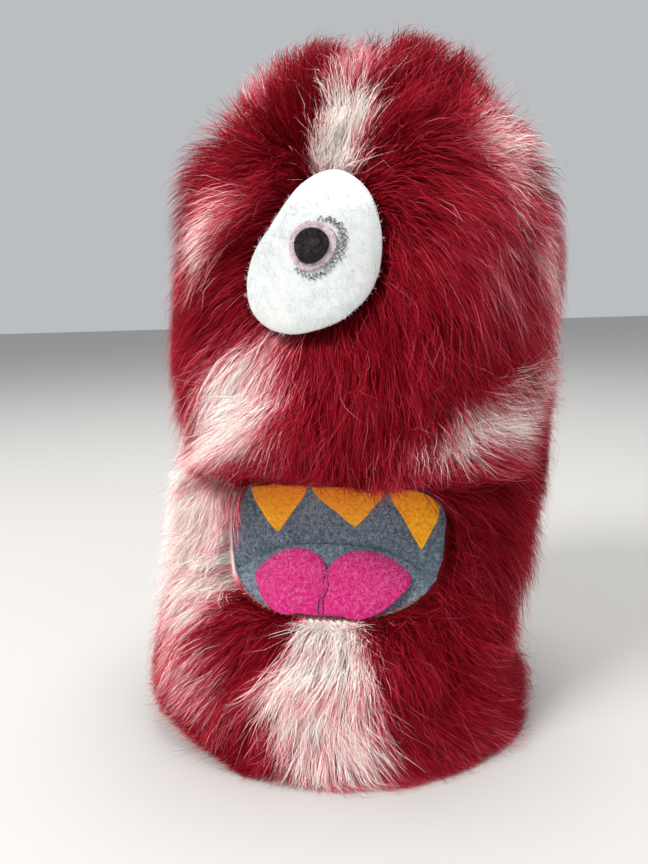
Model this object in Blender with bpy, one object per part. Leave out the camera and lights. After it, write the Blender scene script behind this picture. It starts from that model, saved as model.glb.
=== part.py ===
"""A one-eyed hand puppet of long-pile fake fur, with a felt mouth that opens and shuts.

Metres, +Z up. The origin is on the table at the middle of the puppet's open lower end, the
face looks along -Y, and +X is on the right of someone who looks at the face.

Three bodies turn about one line, the fold of the mouth: the sleeve stands still, the head nods
on it, and the jaw opens and shuts. Seen from the side, each body fills its own sector round
that line, so every shell of cloth is turned as one whole and then cut to those sectors.
"""

import math

import bmesh
import bpy
from mathutils import Matrix, Vector

MM = 0.001
GAP = 0.3 * MM

# The standing tube and its domed crown: radius and top of each layer, from the pile inwards.
PILE_RADIUS = 58 * MM
PILE_TOP = 203 * MM
CLOTH_RADIUS = 45.5 * MM
CLOTH_TOP = 189 * MM
LINING_RADIUS = 44 * MM
LINING_TOP = 187.5 * MM
LINING_THICK = 1.2 * MM
DOME_START = 128 * MM
DOME_POWER = 2.3
DOME_STEPS = 7
TURN_STEPS = 28
HEM_FLARE = 2 * MM
HEM_HEIGHT = 14 * MM
# Heights where a tube has a ring of corners, so that its cuts stay true.
TUBE_RINGS = (110 * MM, 90 * MM, 70 * MM, 45 * MM, 22 * MM)

# The puppet leans towards +X: the sideways shift for each unit of height, and the height that
# keeps its place. The shift is along the hinge line, so the joints stay true.
LEAN = 0.07
LEAN_LEVEL = 52 * MM

# The mouth fold, which is the axis of both joints, and the sectors round it. Angles go up from
# straight ahead, so 180 degrees is straight back.
FOLD = Vector((0, -31 * MM, 61 * MM))
HEAD_SECTOR = (43, 167)
LINING_FRONT_Z = 87 * MM
LINING_STEP_Y = -25 * MM
JAW_SECTOR = (-80, -46)
JAW_REACH = 42 * MM
SLEEVE_CLEAR_ANGLE = 10
SLEEVE_TOP_DROP = 2 * MM
FAR = 180 * MM

# The mouth: both halves run from the fold to the lips, which lie on the cloth tube.
LIP_RADIUS = 42 * MM
LIP_HALF_ANGLE = 50
UPPER_LIP_Z = 84 * MM
LOWER_LIP_Z = 43 * MM
LIP_CORNER_EASE = 0.35
FOLD_SETBACK = 0.14
FELT = 1.4 * MM
BOARD = 1.2 * MM
FELT_SPAN = 0.93
BOARD_SPAN = 0.74
BOARD_LENGTH = 0.77
BEHIND_FELT = 0.6 * MM
FOLD_SPREAD = 60
FOLD_DEPTH = 0.8 * MM
FOLD_HEIGHT = 1.1 * MM
STRAP_HALF_WIDTH = 20 * MM
STRAP_HEIGHT = 14 * MM
STRAP_CLOTH = 1 * MM
STRAP_FROM, STRAP_TO = 0.18, 0.78
STRAP_OFF_BOARD = 2.2 * MM
STRAP_FLARE = 3.2 * MM

# Three teeth along the upper lip: the angle of the root's middle and of the tip.
TEETH = {
    "tooth_left": (-20, -23.4, 13, 0.78),
    "tooth_middle": (8.5, 9.7, 13, 0.7),
    "tooth_right": (35.5, 40, 10.5, 0.88),
}
TOOTH_TIP_HALF = 1
TOOTH_ROOT_OUT = 0.98
TOOTH_STANDOFF = 2.9 * MM
TOOTH_FLARE = 1 * MM

# The tongue's two lobes, across the lower half of the mouth and up from the lip.
TONGUE_LOBES = ((-12.2 * MM, 11.4 * MM), (11.5 * MM, 11.8 * MM))
TONGUE_MIDDLE = 10.3 * MM
TONGUE_RISE = 8.5 * MM
TONGUE_FOOT = 2.5 * MM
TONGUE_END_TRIM = 0.04
TONGUE_STITCHES = 10
TONGUE_STITCH_LOW, TONGUE_STITCH_LENGTH = 3 * MM, 7.5 * MM
TONGUE_STITCH_SWING = 0.35 * MM

# The eye, in millimetres along the face and up from the table.
EYE_RADIUS = 53 * MM
EYE_ANGLE = -5.2
EYE_Z = 145.5 * MM
EYE_HALF_WIDTH = 17.8 * MM
EYE_HALF_HEIGHT = 21.3 * MM
EYE_TILT = 27
EYE_TAPER = 0.13
PUPIL_ANGLE = -4.7
PUPIL_Z = 147.5 * MM
PUPIL_RADIUS = 4.4 * MM
IRIS_RADIUS = 6.2 * MM
STITCH_RING = 7.2 * MM
STITCH_SWING = 0.7 * MM
STITCH_TEETH = 22
FACE_BEND_Z = 150 * MM
FACE_BEND_LENGTH = 60 * MM
EYE_BED_GROW = 1.06
EYE_BED_DEPTH = 13 * MM
EYE_BED_REACH = 40 * MM
EYE_BED_UNDER = 1.2 * MM
EYE_BED_RINGS = (175 * MM, 165 * MM, 150 * MM, 110 * MM)
EDGE_STITCHES = 24
EDGE_STITCH_FROM, EDGE_STITCH_TURN = 20, 110
EDGE_STITCH_IN, EDGE_STITCH_OUT = 0.925, 0.955
THREAD = 0.25 * MM
SEAM_THREAD = 0.4 * MM
LIP_SEAM_SPAN = 0.86
LIP_SEAM_STEPS = 36
LIP_SEAM_IN, LIP_SEAM_OUT = 0.935, 0.975
LIP_SEAM_LIFT = 0.75 * MM
STUFFING_RIM_Z = 149 * MM
STUFFING_ROUND = 6 * MM
SIDE_SEAM_HEIGHTS = (17 * MM, 30 * MM, 43 * MM, 56 * MM)
CROWN_SEAM_FROM = 80 * MM

COLOURS = {
    "fur": ((0.40, 0.012, 0.030), 0.8),
    "backing": ((0.72, 0.60, 0.56), 0.9),
    "lining": ((0.62, 0.55, 0.50), 0.9),
    "white_felt": ((0.88, 0.89, 0.87), 0.95),
    "iris_felt": ((0.66, 0.57, 0.60), 0.95),
    "black_felt": ((0.012, 0.010, 0.012), 0.95),
    "mouth_felt": ((0.12, 0.17, 0.22), 0.95),
    "tongue_felt": ((0.66, 0.025, 0.22), 0.95),
    "tooth_felt": ((0.86, 0.34, 0.02), 0.95),
    "board": ((0.70, 0.68, 0.62), 0.6),
    "thread": ((0.02, 0.02, 0.025), 0.6),
    "seam_thread": ((0.50, 0.04, 0.07), 0.6),
    "stuffing": ((0.90, 0.90, 0.88), 1.0),
}


def clear_scene():
    for old in list(bpy.data.objects):
        bpy.data.objects.remove(old)


def finish_of(slot):
    found = bpy.data.materials.get(slot)
    if found:
        return found
    colour, roughness = COLOURS[slot]
    found = bpy.data.materials.new(slot)
    found.use_nodes = True
    surface = found.node_tree.nodes["Principled BSDF"]
    surface.inputs["Base Color"].default_value = (*colour, 1)
    surface.inputs["Roughness"].default_value = roughness
    surface.inputs["Metallic"].default_value = 0
    return found


def body_empty(name, at):
    empty = bpy.data.objects.new(name, None)
    empty.location = at
    bpy.context.collection.objects.link(empty)
    return empty


def part_object(name, data, slot, body):
    """Links the object under its body's empty, with its mesh kept where the world has it."""
    part = bpy.data.objects.new(name, data)
    bpy.context.collection.objects.link(part)
    if slot:
        data.materials.append(finish_of(slot))
    if body:
        part.parent = body
        part.matrix_parent_inverse = Matrix.Translation(-body.location)
    return part


def leaned(point):
    return Vector((point.x + LEAN * (point.z - LEAN_LEVEL), point.y, point.z))


def mesh_part(name, shape, slot, body):
    for corner in shape.verts:
        corner.co = leaned(corner.co)
    bmesh.ops.recalc_face_normals(shape, faces=shape.faces)
    mesh = bpy.data.meshes.new(name)
    shape.to_mesh(mesh)
    shape.free()
    mesh.shade_smooth()
    mesh.set_sharp_from_angle(angle=math.radians(40))
    return part_object(name, mesh, slot, body)


def dome_outline(radius, top, bottom):
    """Points (r, z) from the crown's middle down to the lower rim."""
    points = []
    for step in range(DOME_STEPS + 1):
        turn = math.radians(90 * (1 - step / DOME_STEPS))
        across = max(math.cos(turn), 0) ** (2 / DOME_POWER)
        up = math.sin(turn) ** (2 / DOME_POWER)
        points.append((radius * across, DOME_START + (top - DOME_START) * up))
    points[0] = (0, top)
    points += [(radius, z) for z in TUBE_RINGS if z > bottom + HEM_HEIGHT / 2]
    points.append((radius, bottom))
    return points


def turned(name, outline, slot, body):
    """A closed outline of (r, z) points, turned round the Z axis. Its ends may lie on the axis."""
    shape = bmesh.new()
    corners = [shape.verts.new((r, 0, z)) for r, z in outline]
    ends_on_axis = outline[0][0] == 0 and outline[-1][0] == 0
    pairs = list(zip(corners, corners[1:]))
    if not ends_on_axis:
        pairs.append((corners[-1], corners[0]))
    edges = [shape.edges.new(pair) for pair in pairs]
    bmesh.ops.spin(
        shape, geom=corners + edges, cent=(0, 0, 0), axis=(0, 0, 1),
        angle=2 * math.pi, steps=TURN_STEPS, use_merge=True,
    )
    bmesh.ops.remove_doubles(shape, verts=shape.verts, dist=0.01 * MM)
    return mesh_part(name, shape, slot, body)


def round_fold(angle, reach):
    """The point at this angle and distance from the fold, seen from the side, as (y, z)."""
    turn = math.radians(angle)
    return FOLD.y - reach * math.cos(turn), FOLD.z + reach * math.sin(turn)


def sector_outline(low, high, start=1 * MM, reach=FAR):
    steps = max(2, round((high - low) / 12))
    angles = [low + (high - low) * step / steps for step in range(steps + 1)]
    outer = [round_fold(angle, reach) for angle in angles]
    inner = [round_fold(high, start), round_fold(low, start)]
    return outer + inner


def sleeve_outline():
    """Below the fold, with the jaw's sweep left out of the front."""
    back_top = FOLD.z - SLEEVE_TOP_DROP
    jaw_low = JAW_SECTOR[0] - SLEEVE_CLEAR_ANGLE
    sweep = [round_fold(angle, JAW_REACH + 0.7 * MM) for angle in range(jaw_low, -28, 6)]
    return [
        (FAR, back_top), (FOLD.y + 3 * MM, back_top), *sweep,
        (-FAR, sweep[-1][1]), (-FAR, -10 * MM), (FAR, -10 * MM),
    ]


def head_lining_outline():
    """Above the mouth at the front, and down to the head's lower edge behind it."""
    back = round_fold(HEAD_SECTOR[1], FAR)
    low = FOLD.z + (LINING_STEP_Y - FOLD.y) * (back[1] - FOLD.z) / (back[0] - FOLD.y)
    return [
        back, (FAR, 2 * FAR), (-FAR, 2 * FAR), (-FAR, LINING_FRONT_Z),
        (LINING_STEP_Y, LINING_FRONT_Z), (LINING_STEP_Y, low),
    ]


def side_cutter(name, outline):
    """A block along X with this (y, z) outline. It is a guide, so it is never drawn."""
    shape = bmesh.new()
    face = shape.faces.new([shape.verts.new((-FAR, y, z)) for y, z in outline])
    grown = bmesh.ops.extrude_face_region(shape, geom=[face])
    moved = [item for item in grown["geom"] if isinstance(item, bmesh.types.BMVert)]
    bmesh.ops.translate(shape, verts=moved, vec=(2 * FAR, 0, 0))
    cutter = mesh_part(name, shape, None, None)
    return hidden(cutter)


def half_space(name, front):
    """A block that holds everything before, or behind, the side seams at y = 0."""
    shape = bmesh.new()
    middle = -FAR - GAP / 2 if front else FAR + GAP / 2
    size = Matrix.Diagonal((2 * FAR, 2 * FAR, 4 * FAR, 1))
    bmesh.ops.create_cube(shape, size=1, matrix=Matrix.Translation((0, middle, 0)) @ size)
    return hidden(mesh_part(name, shape, None, None))


def hidden(guide):
    guide.hide_render = True
    guide.display_type = "WIRE"
    return guide


def cut(part, operation, cutter):
    trim = part.modifiers.new(cutter.name, "BOOLEAN")
    trim.operation = operation
    trim.object = cutter


def sheet(name, columns, rows, place, thick, slot, body):
    """Cloth laid by place(u, v), both from 0 to 1, with its thickness half to each side."""
    shape = bmesh.new()
    bmesh.ops.create_grid(shape, x_segments=columns, y_segments=rows, size=0.5)
    for corner in shape.verts:
        corner.co = place(corner.co.x + 0.5, corner.co.y + 0.5)
    bmesh.ops.remove_doubles(shape, verts=shape.verts, dist=0.05 * MM)
    part = mesh_part(name, shape, slot, body)
    wall = part.modifiers.new("felt", "SOLIDIFY")
    wall.thickness = thick
    wall.offset = 0
    return part


def thread(name, points, radius, closed, slot, body):
    curve = bpy.data.curves.new(name, "CURVE")
    curve.dimensions = "3D"
    curve.bevel_depth = radius
    curve.bevel_resolution = 0
    curve.use_fill_caps = True
    line = curve.splines.new("POLY")
    line.points.add(len(points) - 1)
    for corner, point in zip(line.points, points):
        corner.co = (*leaned(point), 1)
    line.use_cyclic_u = closed
    return part_object(name, curve, slot, body)


def on_tube(radius, angle, z):
    """A point on an upright tube: the angle is counted from the face towards +X."""
    turn = math.radians(angle)
    return Vector((radius * math.sin(turn), -radius * math.cos(turn), z))


def make_fur(sleeve, head, jaw):
    """Fake fur in the panels it is sewn from, each cut to its body's sector."""
    outline = dome_outline(PILE_RADIUS, PILE_TOP, HEM_HEIGHT)
    outline.append((PILE_RADIUS + HEM_FLARE, 0))
    inner = dome_outline(CLOTH_RADIUS, CLOTH_TOP, 0)[::-1]
    head_side = side_cutter("head_sector", sector_outline(*HEAD_SECTOR))
    jaw_side = side_cutter("jaw_sector", sector_outline(*JAW_SECTOR, reach=JAW_REACH))
    sleeve_side = side_cutter("sleeve_sector", sleeve_outline())
    front, back = half_space("front_half", True), half_space("back_half", False)
    eye_bed = make_eye_bed()
    panels = (
        ("face_fur", head, head_side, front), ("head_back_fur", head, head_side, back),
        ("sleeve_front_fur", sleeve, sleeve_side, front),
        ("sleeve_back_fur", sleeve, sleeve_side, back), ("chin_fur", jaw, jaw_side, front),
    )
    for name, body, side, half in panels:
        panel = turned(name, outline + inner, "fur", body)
        cut(panel, "INTERSECT", side)
        cut(panel, "INTERSECT", half)
        if name == "face_fur":
            cut(panel, "DIFFERENCE", eye_bed)


def make_lining(sleeve, head):
    """The thin glove inside, in an upper and a lower part, and the turned-in hem below it."""
    parts = (
        ("head_lining", head, head_lining_outline()),
        ("sleeve_lining", sleeve, sleeve_outline()),
    )
    for name, body, side in parts:
        outline = dome_outline(LINING_RADIUS, LINING_TOP, HEM_HEIGHT + 1 * MM)
        inner = dome_outline(
            LINING_RADIUS - LINING_THICK, LINING_TOP - LINING_THICK, HEM_HEIGHT + 1 * MM
        )
        lining = turned(name, outline + inner[::-1], "lining", body)
        cut(lining, "INTERSECT", side_cutter(name + "_sector", side))
    hem_in, hem_out = LINING_RADIUS - LINING_THICK, CLOTH_RADIUS - GAP
    turned(
        "hem_band",
        [(hem_out, HEM_HEIGHT), (hem_out, GAP), (hem_in, GAP), (hem_in, HEM_HEIGHT)],
        "backing", sleeve,
    )
    ring = [
        on_tube(hem_in - 2 * SEAM_THREAD, 360 * step / 56, HEM_HEIGHT * (0.62 + 0.12 * (step % 2)))
        for step in range(56)
    ]
    thread("hem_stitch", ring, SEAM_THREAD, True, "seam_thread", sleeve)


def make_seams(sleeve, head):
    """The side seams: one over the crown, and one down each side of the sleeve."""
    between = (CLOTH_RADIUS + LINING_RADIUS) / 2
    crown = (CLOTH_TOP + LINING_TOP) / 2
    side = [(r, z) for r, z in dome_outline(between, crown, 0) if z > CROWN_SEAM_FROM]
    arch = [Vector((-r, 0, z)) for r, z in side[::-1]] + [Vector((r, 0, z)) for r, z in side[1:]]
    thread("head_side_seam", arch, SEAM_THREAD, False, "seam_thread", head)
    for name, sign in (("sleeve_seam_left", -1), ("sleeve_seam_right", 1)):
        line = [Vector((sign * between, 0, z)) for z in SIDE_SEAM_HEIGHTS]
        thread(name, line, SEAM_THREAD, False, "seam_thread", sleeve)


def mouth_point(upper, across, out, lift=0.0):
    """A point of the mouth: across from -1 to 1, out from the fold at 0 to the lip at 1."""
    angle = LIP_HALF_ANGLE * across
    lip_z = UPPER_LIP_Z if upper else LOWER_LIP_Z
    lip_z += (FOLD.z - lip_z) * LIP_CORNER_EASE * across**6
    lip = on_tube(LIP_RADIUS, angle, lip_z)
    fold = Vector((lip.x, FOLD.y, FOLD.z))
    start = FOLD_SETBACK
    point = fold.lerp(lip, start + (1 - start) * out)
    side = 1 if upper else -1
    slope = math.atan2(abs(lip_z - FOLD.z), LIP_RADIUS + FOLD.y)
    return point + lift * Vector((0, math.sin(slope), side * math.cos(slope)))


def make_mouth(upper, name_end, body):
    """One half of the felt mouth, the stiff board behind it, and the strap for the hand."""
    sheet(
        "mouth_felt_" + name_end, 16, 4,
        lambda u, v: mouth_point(upper, FELT_SPAN * (2 * u - 1), v),
        FELT, "mouth_felt", body,
    )
    behind = (FELT + BOARD) / 2 + BEHIND_FELT
    sheet(
        "mouth_board_" + name_end, 12, 2,
        lambda u, v: mouth_point(
            upper, BOARD_SPAN * (2 * u - 1), 0.5 + BOARD_LENGTH * (v - 0.5), behind
        ),
        BOARD, "board", body,
    )

    def strap(u, v):
        turn = math.pi * u
        at = mouth_point(upper, 0, STRAP_FROM + (STRAP_TO - STRAP_FROM) * v)
        out = mouth_point(upper, 0, 0.5, 1.0) - mouth_point(upper, 0, 0.5, 0.0)
        height = behind + STRAP_OFF_BOARD + STRAP_HEIGHT * math.sin(turn)
        flare = (1 - math.sin(turn)) * STRAP_FLARE
        return at + out * (height + flare) + Vector((-STRAP_HALF_WIDTH * math.cos(turn), 0, 0))

    name = "finger_strap" if upper else "thumb_strap"
    sheet(name, 14, 2, strap, STRAP_CLOTH, "lining", body)


def make_fold(sleeve):
    """The strip where the two halves of the mouth are sewn together: the cloth hinge."""
    half_width = LIP_RADIUS * math.sin(math.radians(LIP_HALF_ANGLE)) - 2 * MM

    def strip(u, v):
        turn = math.radians(FOLD_SPREAD * (2 * v - 1))
        along = (2 * u - 1) * half_width
        return FOLD + Vector((along, FOLD_DEPTH * math.cos(turn), FOLD_HEIGHT * math.sin(turn)))

    sheet("mouth_fold", 8, 3, strip, 0.5 * MM, "mouth_felt", sleeve)


def make_lip_seams(head, jaw):
    """Overcast thread that holds the felt's edge to the fur along each lip."""
    for name, upper, body in (("lip_seam_upper", True, head), ("lip_seam_lower", False, jaw)):
        points = []
        for step in range(LIP_SEAM_STEPS + 1):
            across = LIP_SEAM_SPAN * (2 * step / LIP_SEAM_STEPS - 1)
            inset = LIP_SEAM_OUT if step % 2 else LIP_SEAM_IN
            points.append(mouth_point(upper, across, inset, -(FELT / 2 + LIP_SEAM_LIFT)))
        thread(name, points, THREAD, False, "seam_thread", body)


def make_teeth(head):
    for name, (root_angle, tip_angle, root_half, reach) in TEETH.items():

        def tooth(u, v, start=root_angle, end=tip_angle, root_half=root_half, reach=reach):
            half = root_half * (1 - v) + TOOTH_TIP_HALF * v
            angle = start + (end - start) * v + (2 * u - 1) * half
            out = TOOTH_ROOT_OUT - reach * v
            return mouth_point(True, angle / LIP_HALF_ANGLE, out, -TOOTH_STANDOFF - TOOTH_FLARE * v)

        sheet(name, 6, 5, tooth, FELT, "tooth_felt", head)


def tongue_span(x):
    """Lower and upper edge of the tongue at this place across the mouth, up from the lip."""
    rises = [
        math.sqrt(max(0, 1 - ((x - middle) / half) ** 2)) for middle, half in TONGUE_LOBES
    ]
    rise = max(rises)
    low = TONGUE_MIDDLE - (TONGUE_MIDDLE - TONGUE_FOOT) * max(rise, 0.75 * (min(rises) > 0))
    return low, TONGUE_MIDDLE + TONGUE_RISE * rise


def tongue_point(x, up, lift):
    length = (mouth_point(False, 0, 1) - mouth_point(False, 0, 0)).length
    across = math.degrees(math.asin(x / LIP_RADIUS)) / LIP_HALF_ANGLE
    return mouth_point(False, across, 1 - up / length, -lift)


def make_tongue(jaw):
    """A pink felt tongue with two lobes, and the double line of thread down its middle."""
    low_x = TONGUE_LOBES[0][0] - TONGUE_LOBES[0][1]
    high_x = TONGUE_LOBES[1][0] + TONGUE_LOBES[1][1]
    lift = FELT + GAP

    def tongue(u, v):
        turn = math.pi * (TONGUE_END_TRIM + (1 - 2 * TONGUE_END_TRIM) * u)
        spread = 0.5 - 0.5 * math.cos(turn)
        x = low_x + (high_x - low_x) * spread
        low, high = tongue_span(x)
        return tongue_point(x, low + (high - low) * v, lift)

    sheet("tongue", 30, 5, tongue, FELT, "tongue_felt", jaw)
    stitch_x = (TONGUE_LOBES[0][0] + TONGUE_LOBES[0][1] + TONGUE_LOBES[1][0] - TONGUE_LOBES[1][1]) / 2
    line = [
        tongue_point(
            stitch_x + TONGUE_STITCH_SWING * (-1) ** step,
            TONGUE_STITCH_LOW + TONGUE_STITCH_LENGTH * step / TONGUE_STITCHES,
            lift + FELT / 2 + 2 * THREAD,
        )
        for step in range(TONGUE_STITCHES + 1)
    ]
    thread("tongue_stitch", line, THREAD, False, "thread", jaw)


def egg_point(turn, share, grow, radius):
    """A point of the eye's egg: share 0 is its middle and 1 its edge, broad end down left."""
    lean = math.radians(EYE_TILT)
    x = math.cos(turn) * EYE_HALF_WIDTH * (1 - EYE_TAPER * math.sin(turn))
    z = math.sin(turn) * EYE_HALF_HEIGHT
    across = (x * math.cos(lean) + z * math.sin(lean)) * share * grow
    up = (z * math.cos(lean) - x * math.sin(lean)) * share * grow
    return on_tube(radius, EYE_ANGLE + math.degrees(across / EYE_RADIUS), EYE_Z + up)


def face_radius(z, radius):
    """The tube's radius at this height, a little less where the crown begins to close."""
    above = max(0, z - FACE_BEND_Z)
    return radius - above**2 / FACE_BEND_LENGTH


def on_face(point, radius):
    scale = face_radius(point.z, radius) / radius
    return Vector((point.x * scale, point.y * scale, point.z))


def make_eye_bed():
    """The hollow in the pile that the eye lies in: a guide, cut out of the face."""
    shape = bmesh.new()
    bmesh.ops.create_circle(shape, cap_ends=True, segments=28, radius=1)
    rim = shape.verts[:]
    for corner in rim:
        turn = math.atan2(corner.co.y, corner.co.x)
        corner.co = egg_point(turn, 1, EYE_BED_GROW, EYE_RADIUS)
        corner.co.y = -(EYE_RADIUS - EYE_BED_DEPTH)
    faces = shape.faces[:]
    grown = bmesh.ops.extrude_face_region(shape, geom=faces)
    moved = [item for item in grown["geom"] if isinstance(item, bmesh.types.BMVert)]
    bmesh.ops.translate(shape, verts=moved, vec=(0, -EYE_BED_REACH, 0))
    block = hidden(mesh_part("eye_bed_block", shape, None, None))
    core_outline = [(0, EYE_BED_RINGS[0])]
    core_outline += [(face_radius(z, EYE_RADIUS) - EYE_BED_UNDER, z) for z in EYE_BED_RINGS]
    core_outline.append((0, EYE_BED_RINGS[-1]))
    core = hidden(turned("eye_bed_core", core_outline, None, None))
    cut(block, "DIFFERENCE", core)
    return block


def disc(radius_of, middle_angle, middle_z, tube_radius):
    def place(u, v):
        turn = 2 * math.pi * u
        reach = radius_of(v)
        across = math.degrees(reach * math.cos(turn) / EYE_RADIUS)
        point = on_tube(tube_radius, middle_angle + across, middle_z + reach * math.sin(turn))
        return on_face(point, tube_radius)

    return place


def make_eye(head):
    """White felt egg, grey ring, black pupil, and the machine stitching that holds them."""
    sheet(
        "eye_white", 28, 4,
        lambda u, v: on_face(egg_point(2 * math.pi * u, v, 1, EYE_RADIUS), EYE_RADIUS),
        FELT, "white_felt", head,
    )
    iris_at = EYE_RADIUS + FELT + GAP
    pupil_hole = PUPIL_RADIUS + GAP
    sheet(
        "eye_iris", 24, 1,
        disc(lambda v: pupil_hole + (IRIS_RADIUS - pupil_hole) * v, PUPIL_ANGLE, PUPIL_Z, iris_at),
        0.9 * MM, "iris_felt", head,
    )
    sheet(
        "eye_pupil", 20, 2,
        disc(lambda v: PUPIL_RADIUS * v, PUPIL_ANGLE, PUPIL_Z, iris_at),
        FELT, "black_felt", head,
    )
    ring = []
    for step in range(2 * STITCH_TEETH):
        turn = math.pi * step / STITCH_TEETH
        reach = STITCH_RING + STITCH_SWING * (-1) ** step
        across = math.degrees(reach * math.cos(turn) / EYE_RADIUS)
        point = on_tube(
            EYE_RADIUS + FELT / 2 + 2 * THREAD, PUPIL_ANGLE + across,
            PUPIL_Z + reach * math.sin(turn),
        )
        ring.append(on_face(point, EYE_RADIUS + FELT / 2))
    thread("eye_ring_stitch", ring, THREAD, True, "thread", head)
    edge = []
    for step in range(EDGE_STITCHES + 1):
        turn = math.radians(EDGE_STITCH_FROM + EDGE_STITCH_TURN * step / EDGE_STITCHES)
        share = EDGE_STITCH_OUT if step % 2 else EDGE_STITCH_IN
        point = egg_point(turn, share, 1, EYE_RADIUS + FELT / 2 + 2 * THREAD)
        edge.append(on_face(point, EYE_RADIUS + FELT / 2))
    thread("eye_edge_stitch", edge, THREAD, False, "thread", head)


def make_stuffing(head):
    """Polyester fill: a plug in the crown, above where the fingers reach."""
    radius = LINING_RADIUS - LINING_THICK - 1 * MM
    top = LINING_TOP - LINING_THICK - 1 * MM
    outline = [point for point in dome_outline(radius, top, 0) if point[1] > STUFFING_RIM_Z]
    rim = outline[-1][0]
    outline += [
        (rim, STUFFING_RIM_Z), (rim - STUFFING_ROUND, STUFFING_RIM_Z - STUFFING_ROUND / 2),
        (0, STUFFING_RIM_Z - STUFFING_ROUND),
    ]
    turned("crown_stuffing", outline, "stuffing", head)


def main():
    clear_scene()
    sleeve = body_empty("sleeve_body", (0, 0, 0))
    head = body_empty("head_body", FOLD)
    jaw = body_empty("jaw_body", FOLD)
    head.parent = jaw.parent = sleeve
    bpy.context.view_layer.update()
    make_fur(sleeve, head, jaw)
    make_lining(sleeve, head)
    make_seams(sleeve, head)
    make_mouth(True, "upper", head)
    make_mouth(False, "lower", jaw)
    make_fold(sleeve)
    make_lip_seams(head, jaw)
    make_teeth(head)
    make_tongue(jaw)
    make_eye(head)
    make_stuffing(head)


main()
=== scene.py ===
import math

import bmesh
import bpy
import numpy as np
from mathutils import Matrix, Vector, noise


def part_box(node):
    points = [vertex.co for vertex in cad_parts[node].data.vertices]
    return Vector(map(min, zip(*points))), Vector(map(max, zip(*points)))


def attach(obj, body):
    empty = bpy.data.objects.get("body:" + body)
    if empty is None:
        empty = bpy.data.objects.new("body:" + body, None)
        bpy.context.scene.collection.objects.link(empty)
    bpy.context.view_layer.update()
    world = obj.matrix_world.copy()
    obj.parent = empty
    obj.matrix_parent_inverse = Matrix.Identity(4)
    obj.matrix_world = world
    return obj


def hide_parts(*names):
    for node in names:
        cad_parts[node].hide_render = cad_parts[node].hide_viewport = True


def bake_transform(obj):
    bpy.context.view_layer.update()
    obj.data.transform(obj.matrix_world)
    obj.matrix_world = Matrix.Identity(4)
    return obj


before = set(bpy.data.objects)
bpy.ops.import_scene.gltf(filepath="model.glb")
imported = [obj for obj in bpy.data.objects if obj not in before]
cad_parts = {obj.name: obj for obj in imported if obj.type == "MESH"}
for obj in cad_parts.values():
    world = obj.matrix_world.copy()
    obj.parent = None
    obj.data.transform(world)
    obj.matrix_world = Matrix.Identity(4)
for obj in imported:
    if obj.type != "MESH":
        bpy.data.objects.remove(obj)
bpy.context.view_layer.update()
# The felt's and the lining's unevenness is vector noise, the same each run from this seed.
NOISE_SEED = 1795043539
noise.seed_set(NOISE_SEED)

# ----------------------------------------
# Backing cloth. The knitted back of the fake fur, sewn into a tube that closes over the crown,
# with a hole for the mouth. The puppet leans towards its left (+X) as it goes up. The dye of the
# pile shows on the cloth too, so both take their tone from the same patches.
MM = 0.001
CLOTH_RADIUS = 46 * MM
CLOTH_TOP = 189.3 * MM
CLOTH_LOW = 1.5 * MM
CLOTH_THICK = 0.8 * MM
DOME_START = 128 * MM
DOME_POWER = 2.3
LEAN = 0.07
LEAN_LEVEL = 52 * MM
FOLD = Vector((0, -31 * MM, 61 * MM))
MOUTH_TURN = math.radians(46)
MOUTH_MIDDLE, MOUTH_HALF_HEIGHT = 63.5 * MM, 20.5 * MM
MOUTH_SQUARENESS = 3
MOUTH_HIGH = MOUTH_MIDDLE + MOUTH_HALF_HEIGHT
CHIN_TURN = math.radians(42)
HEM_RISE = 10 * MM

# Where the white and pink patches are: degrees from the face towards +X, millimetres up the
# cloth, half width and half height in millimetres, tilt in degrees, and how white they are.
PATCHES = (
    (-3, 174, 7, 9, 0, 1.2), (-2, 198, 10, 14, 0, 0.66), (-42, 155, 12, 8, 12, 0.85),
    (-25, 112, 12, 17, -8, 0.92), (-60, 66, 18, 28, 6, 1.4), (4, 31, 10, 24, 0, 1.6),
    (50, 105, 23, 8, 22, 0.85), (-42, 28, 15, 9, -20, 0.6), (86, 42, 9, 18, 0, 0.6),
    (58, 172, 12, 10, 25, 0.7), (72, 142, 8, 14, 15, 0.7),
    (-104, 150, 14, 20, 10, 0.95), (-98, 98, 11, 14, 0, 0.7), (-112, 28, 14, 20, 0, 0.95),
    (150, 62, 15, 24, 5, 1.0), (180, 126, 13, 20, 0, 0.95), (128, 168, 13, 14, -10, 0.8),
    (112, 112, 12, 18, 0, 0.85), (-155, 74, 11, 16, 0, 0.8), (178, 16, 14, 12, 0, 0.8),
    (108, 10, 10, 12, 0, 0.7), (-142, 182, 13, 14, 0, 0.8), (-62, 186, 8, 10, 0, 0.5),
)
# Where only the tips of crimson hair are frosted: the same measures, and how much.
FROST = (
    (60, 158, 24, 26, 10, 0.9), (58, 104, 28, 15, 15, 0.7), (70, 45, 16, 26, 0, 0.4),
    (36, 8, 18, 10, 0, 0.6), (-58, 40, 24, 26, 0, 0.5), (4, 200, 14, 22, 0, 0.4),
    (-85, 140, 20, 30, 0, 0.4), (130, 90, 30, 40, 0, 0.45), (-150, 120, 30, 36, 0, 0.45),
)

steps = np.linspace(0, math.pi / 2, 60)
profile_r = np.concatenate(
    ([CLOTH_RADIUS] * 40, CLOTH_RADIUS * np.maximum(np.cos(steps), 0) ** (2 / DOME_POWER))
)
profile_z = np.concatenate((
    np.linspace(CLOTH_LOW, DOME_START, 41)[:-1],
    DOME_START + (CLOTH_TOP - DOME_START) * np.sin(steps) ** (2 / DOME_POWER),
))
profile_climb = np.concatenate(
    ([0], np.cumsum(np.hypot(np.diff(profile_r), np.diff(profile_z))))
) + CLOTH_LOW


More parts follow.
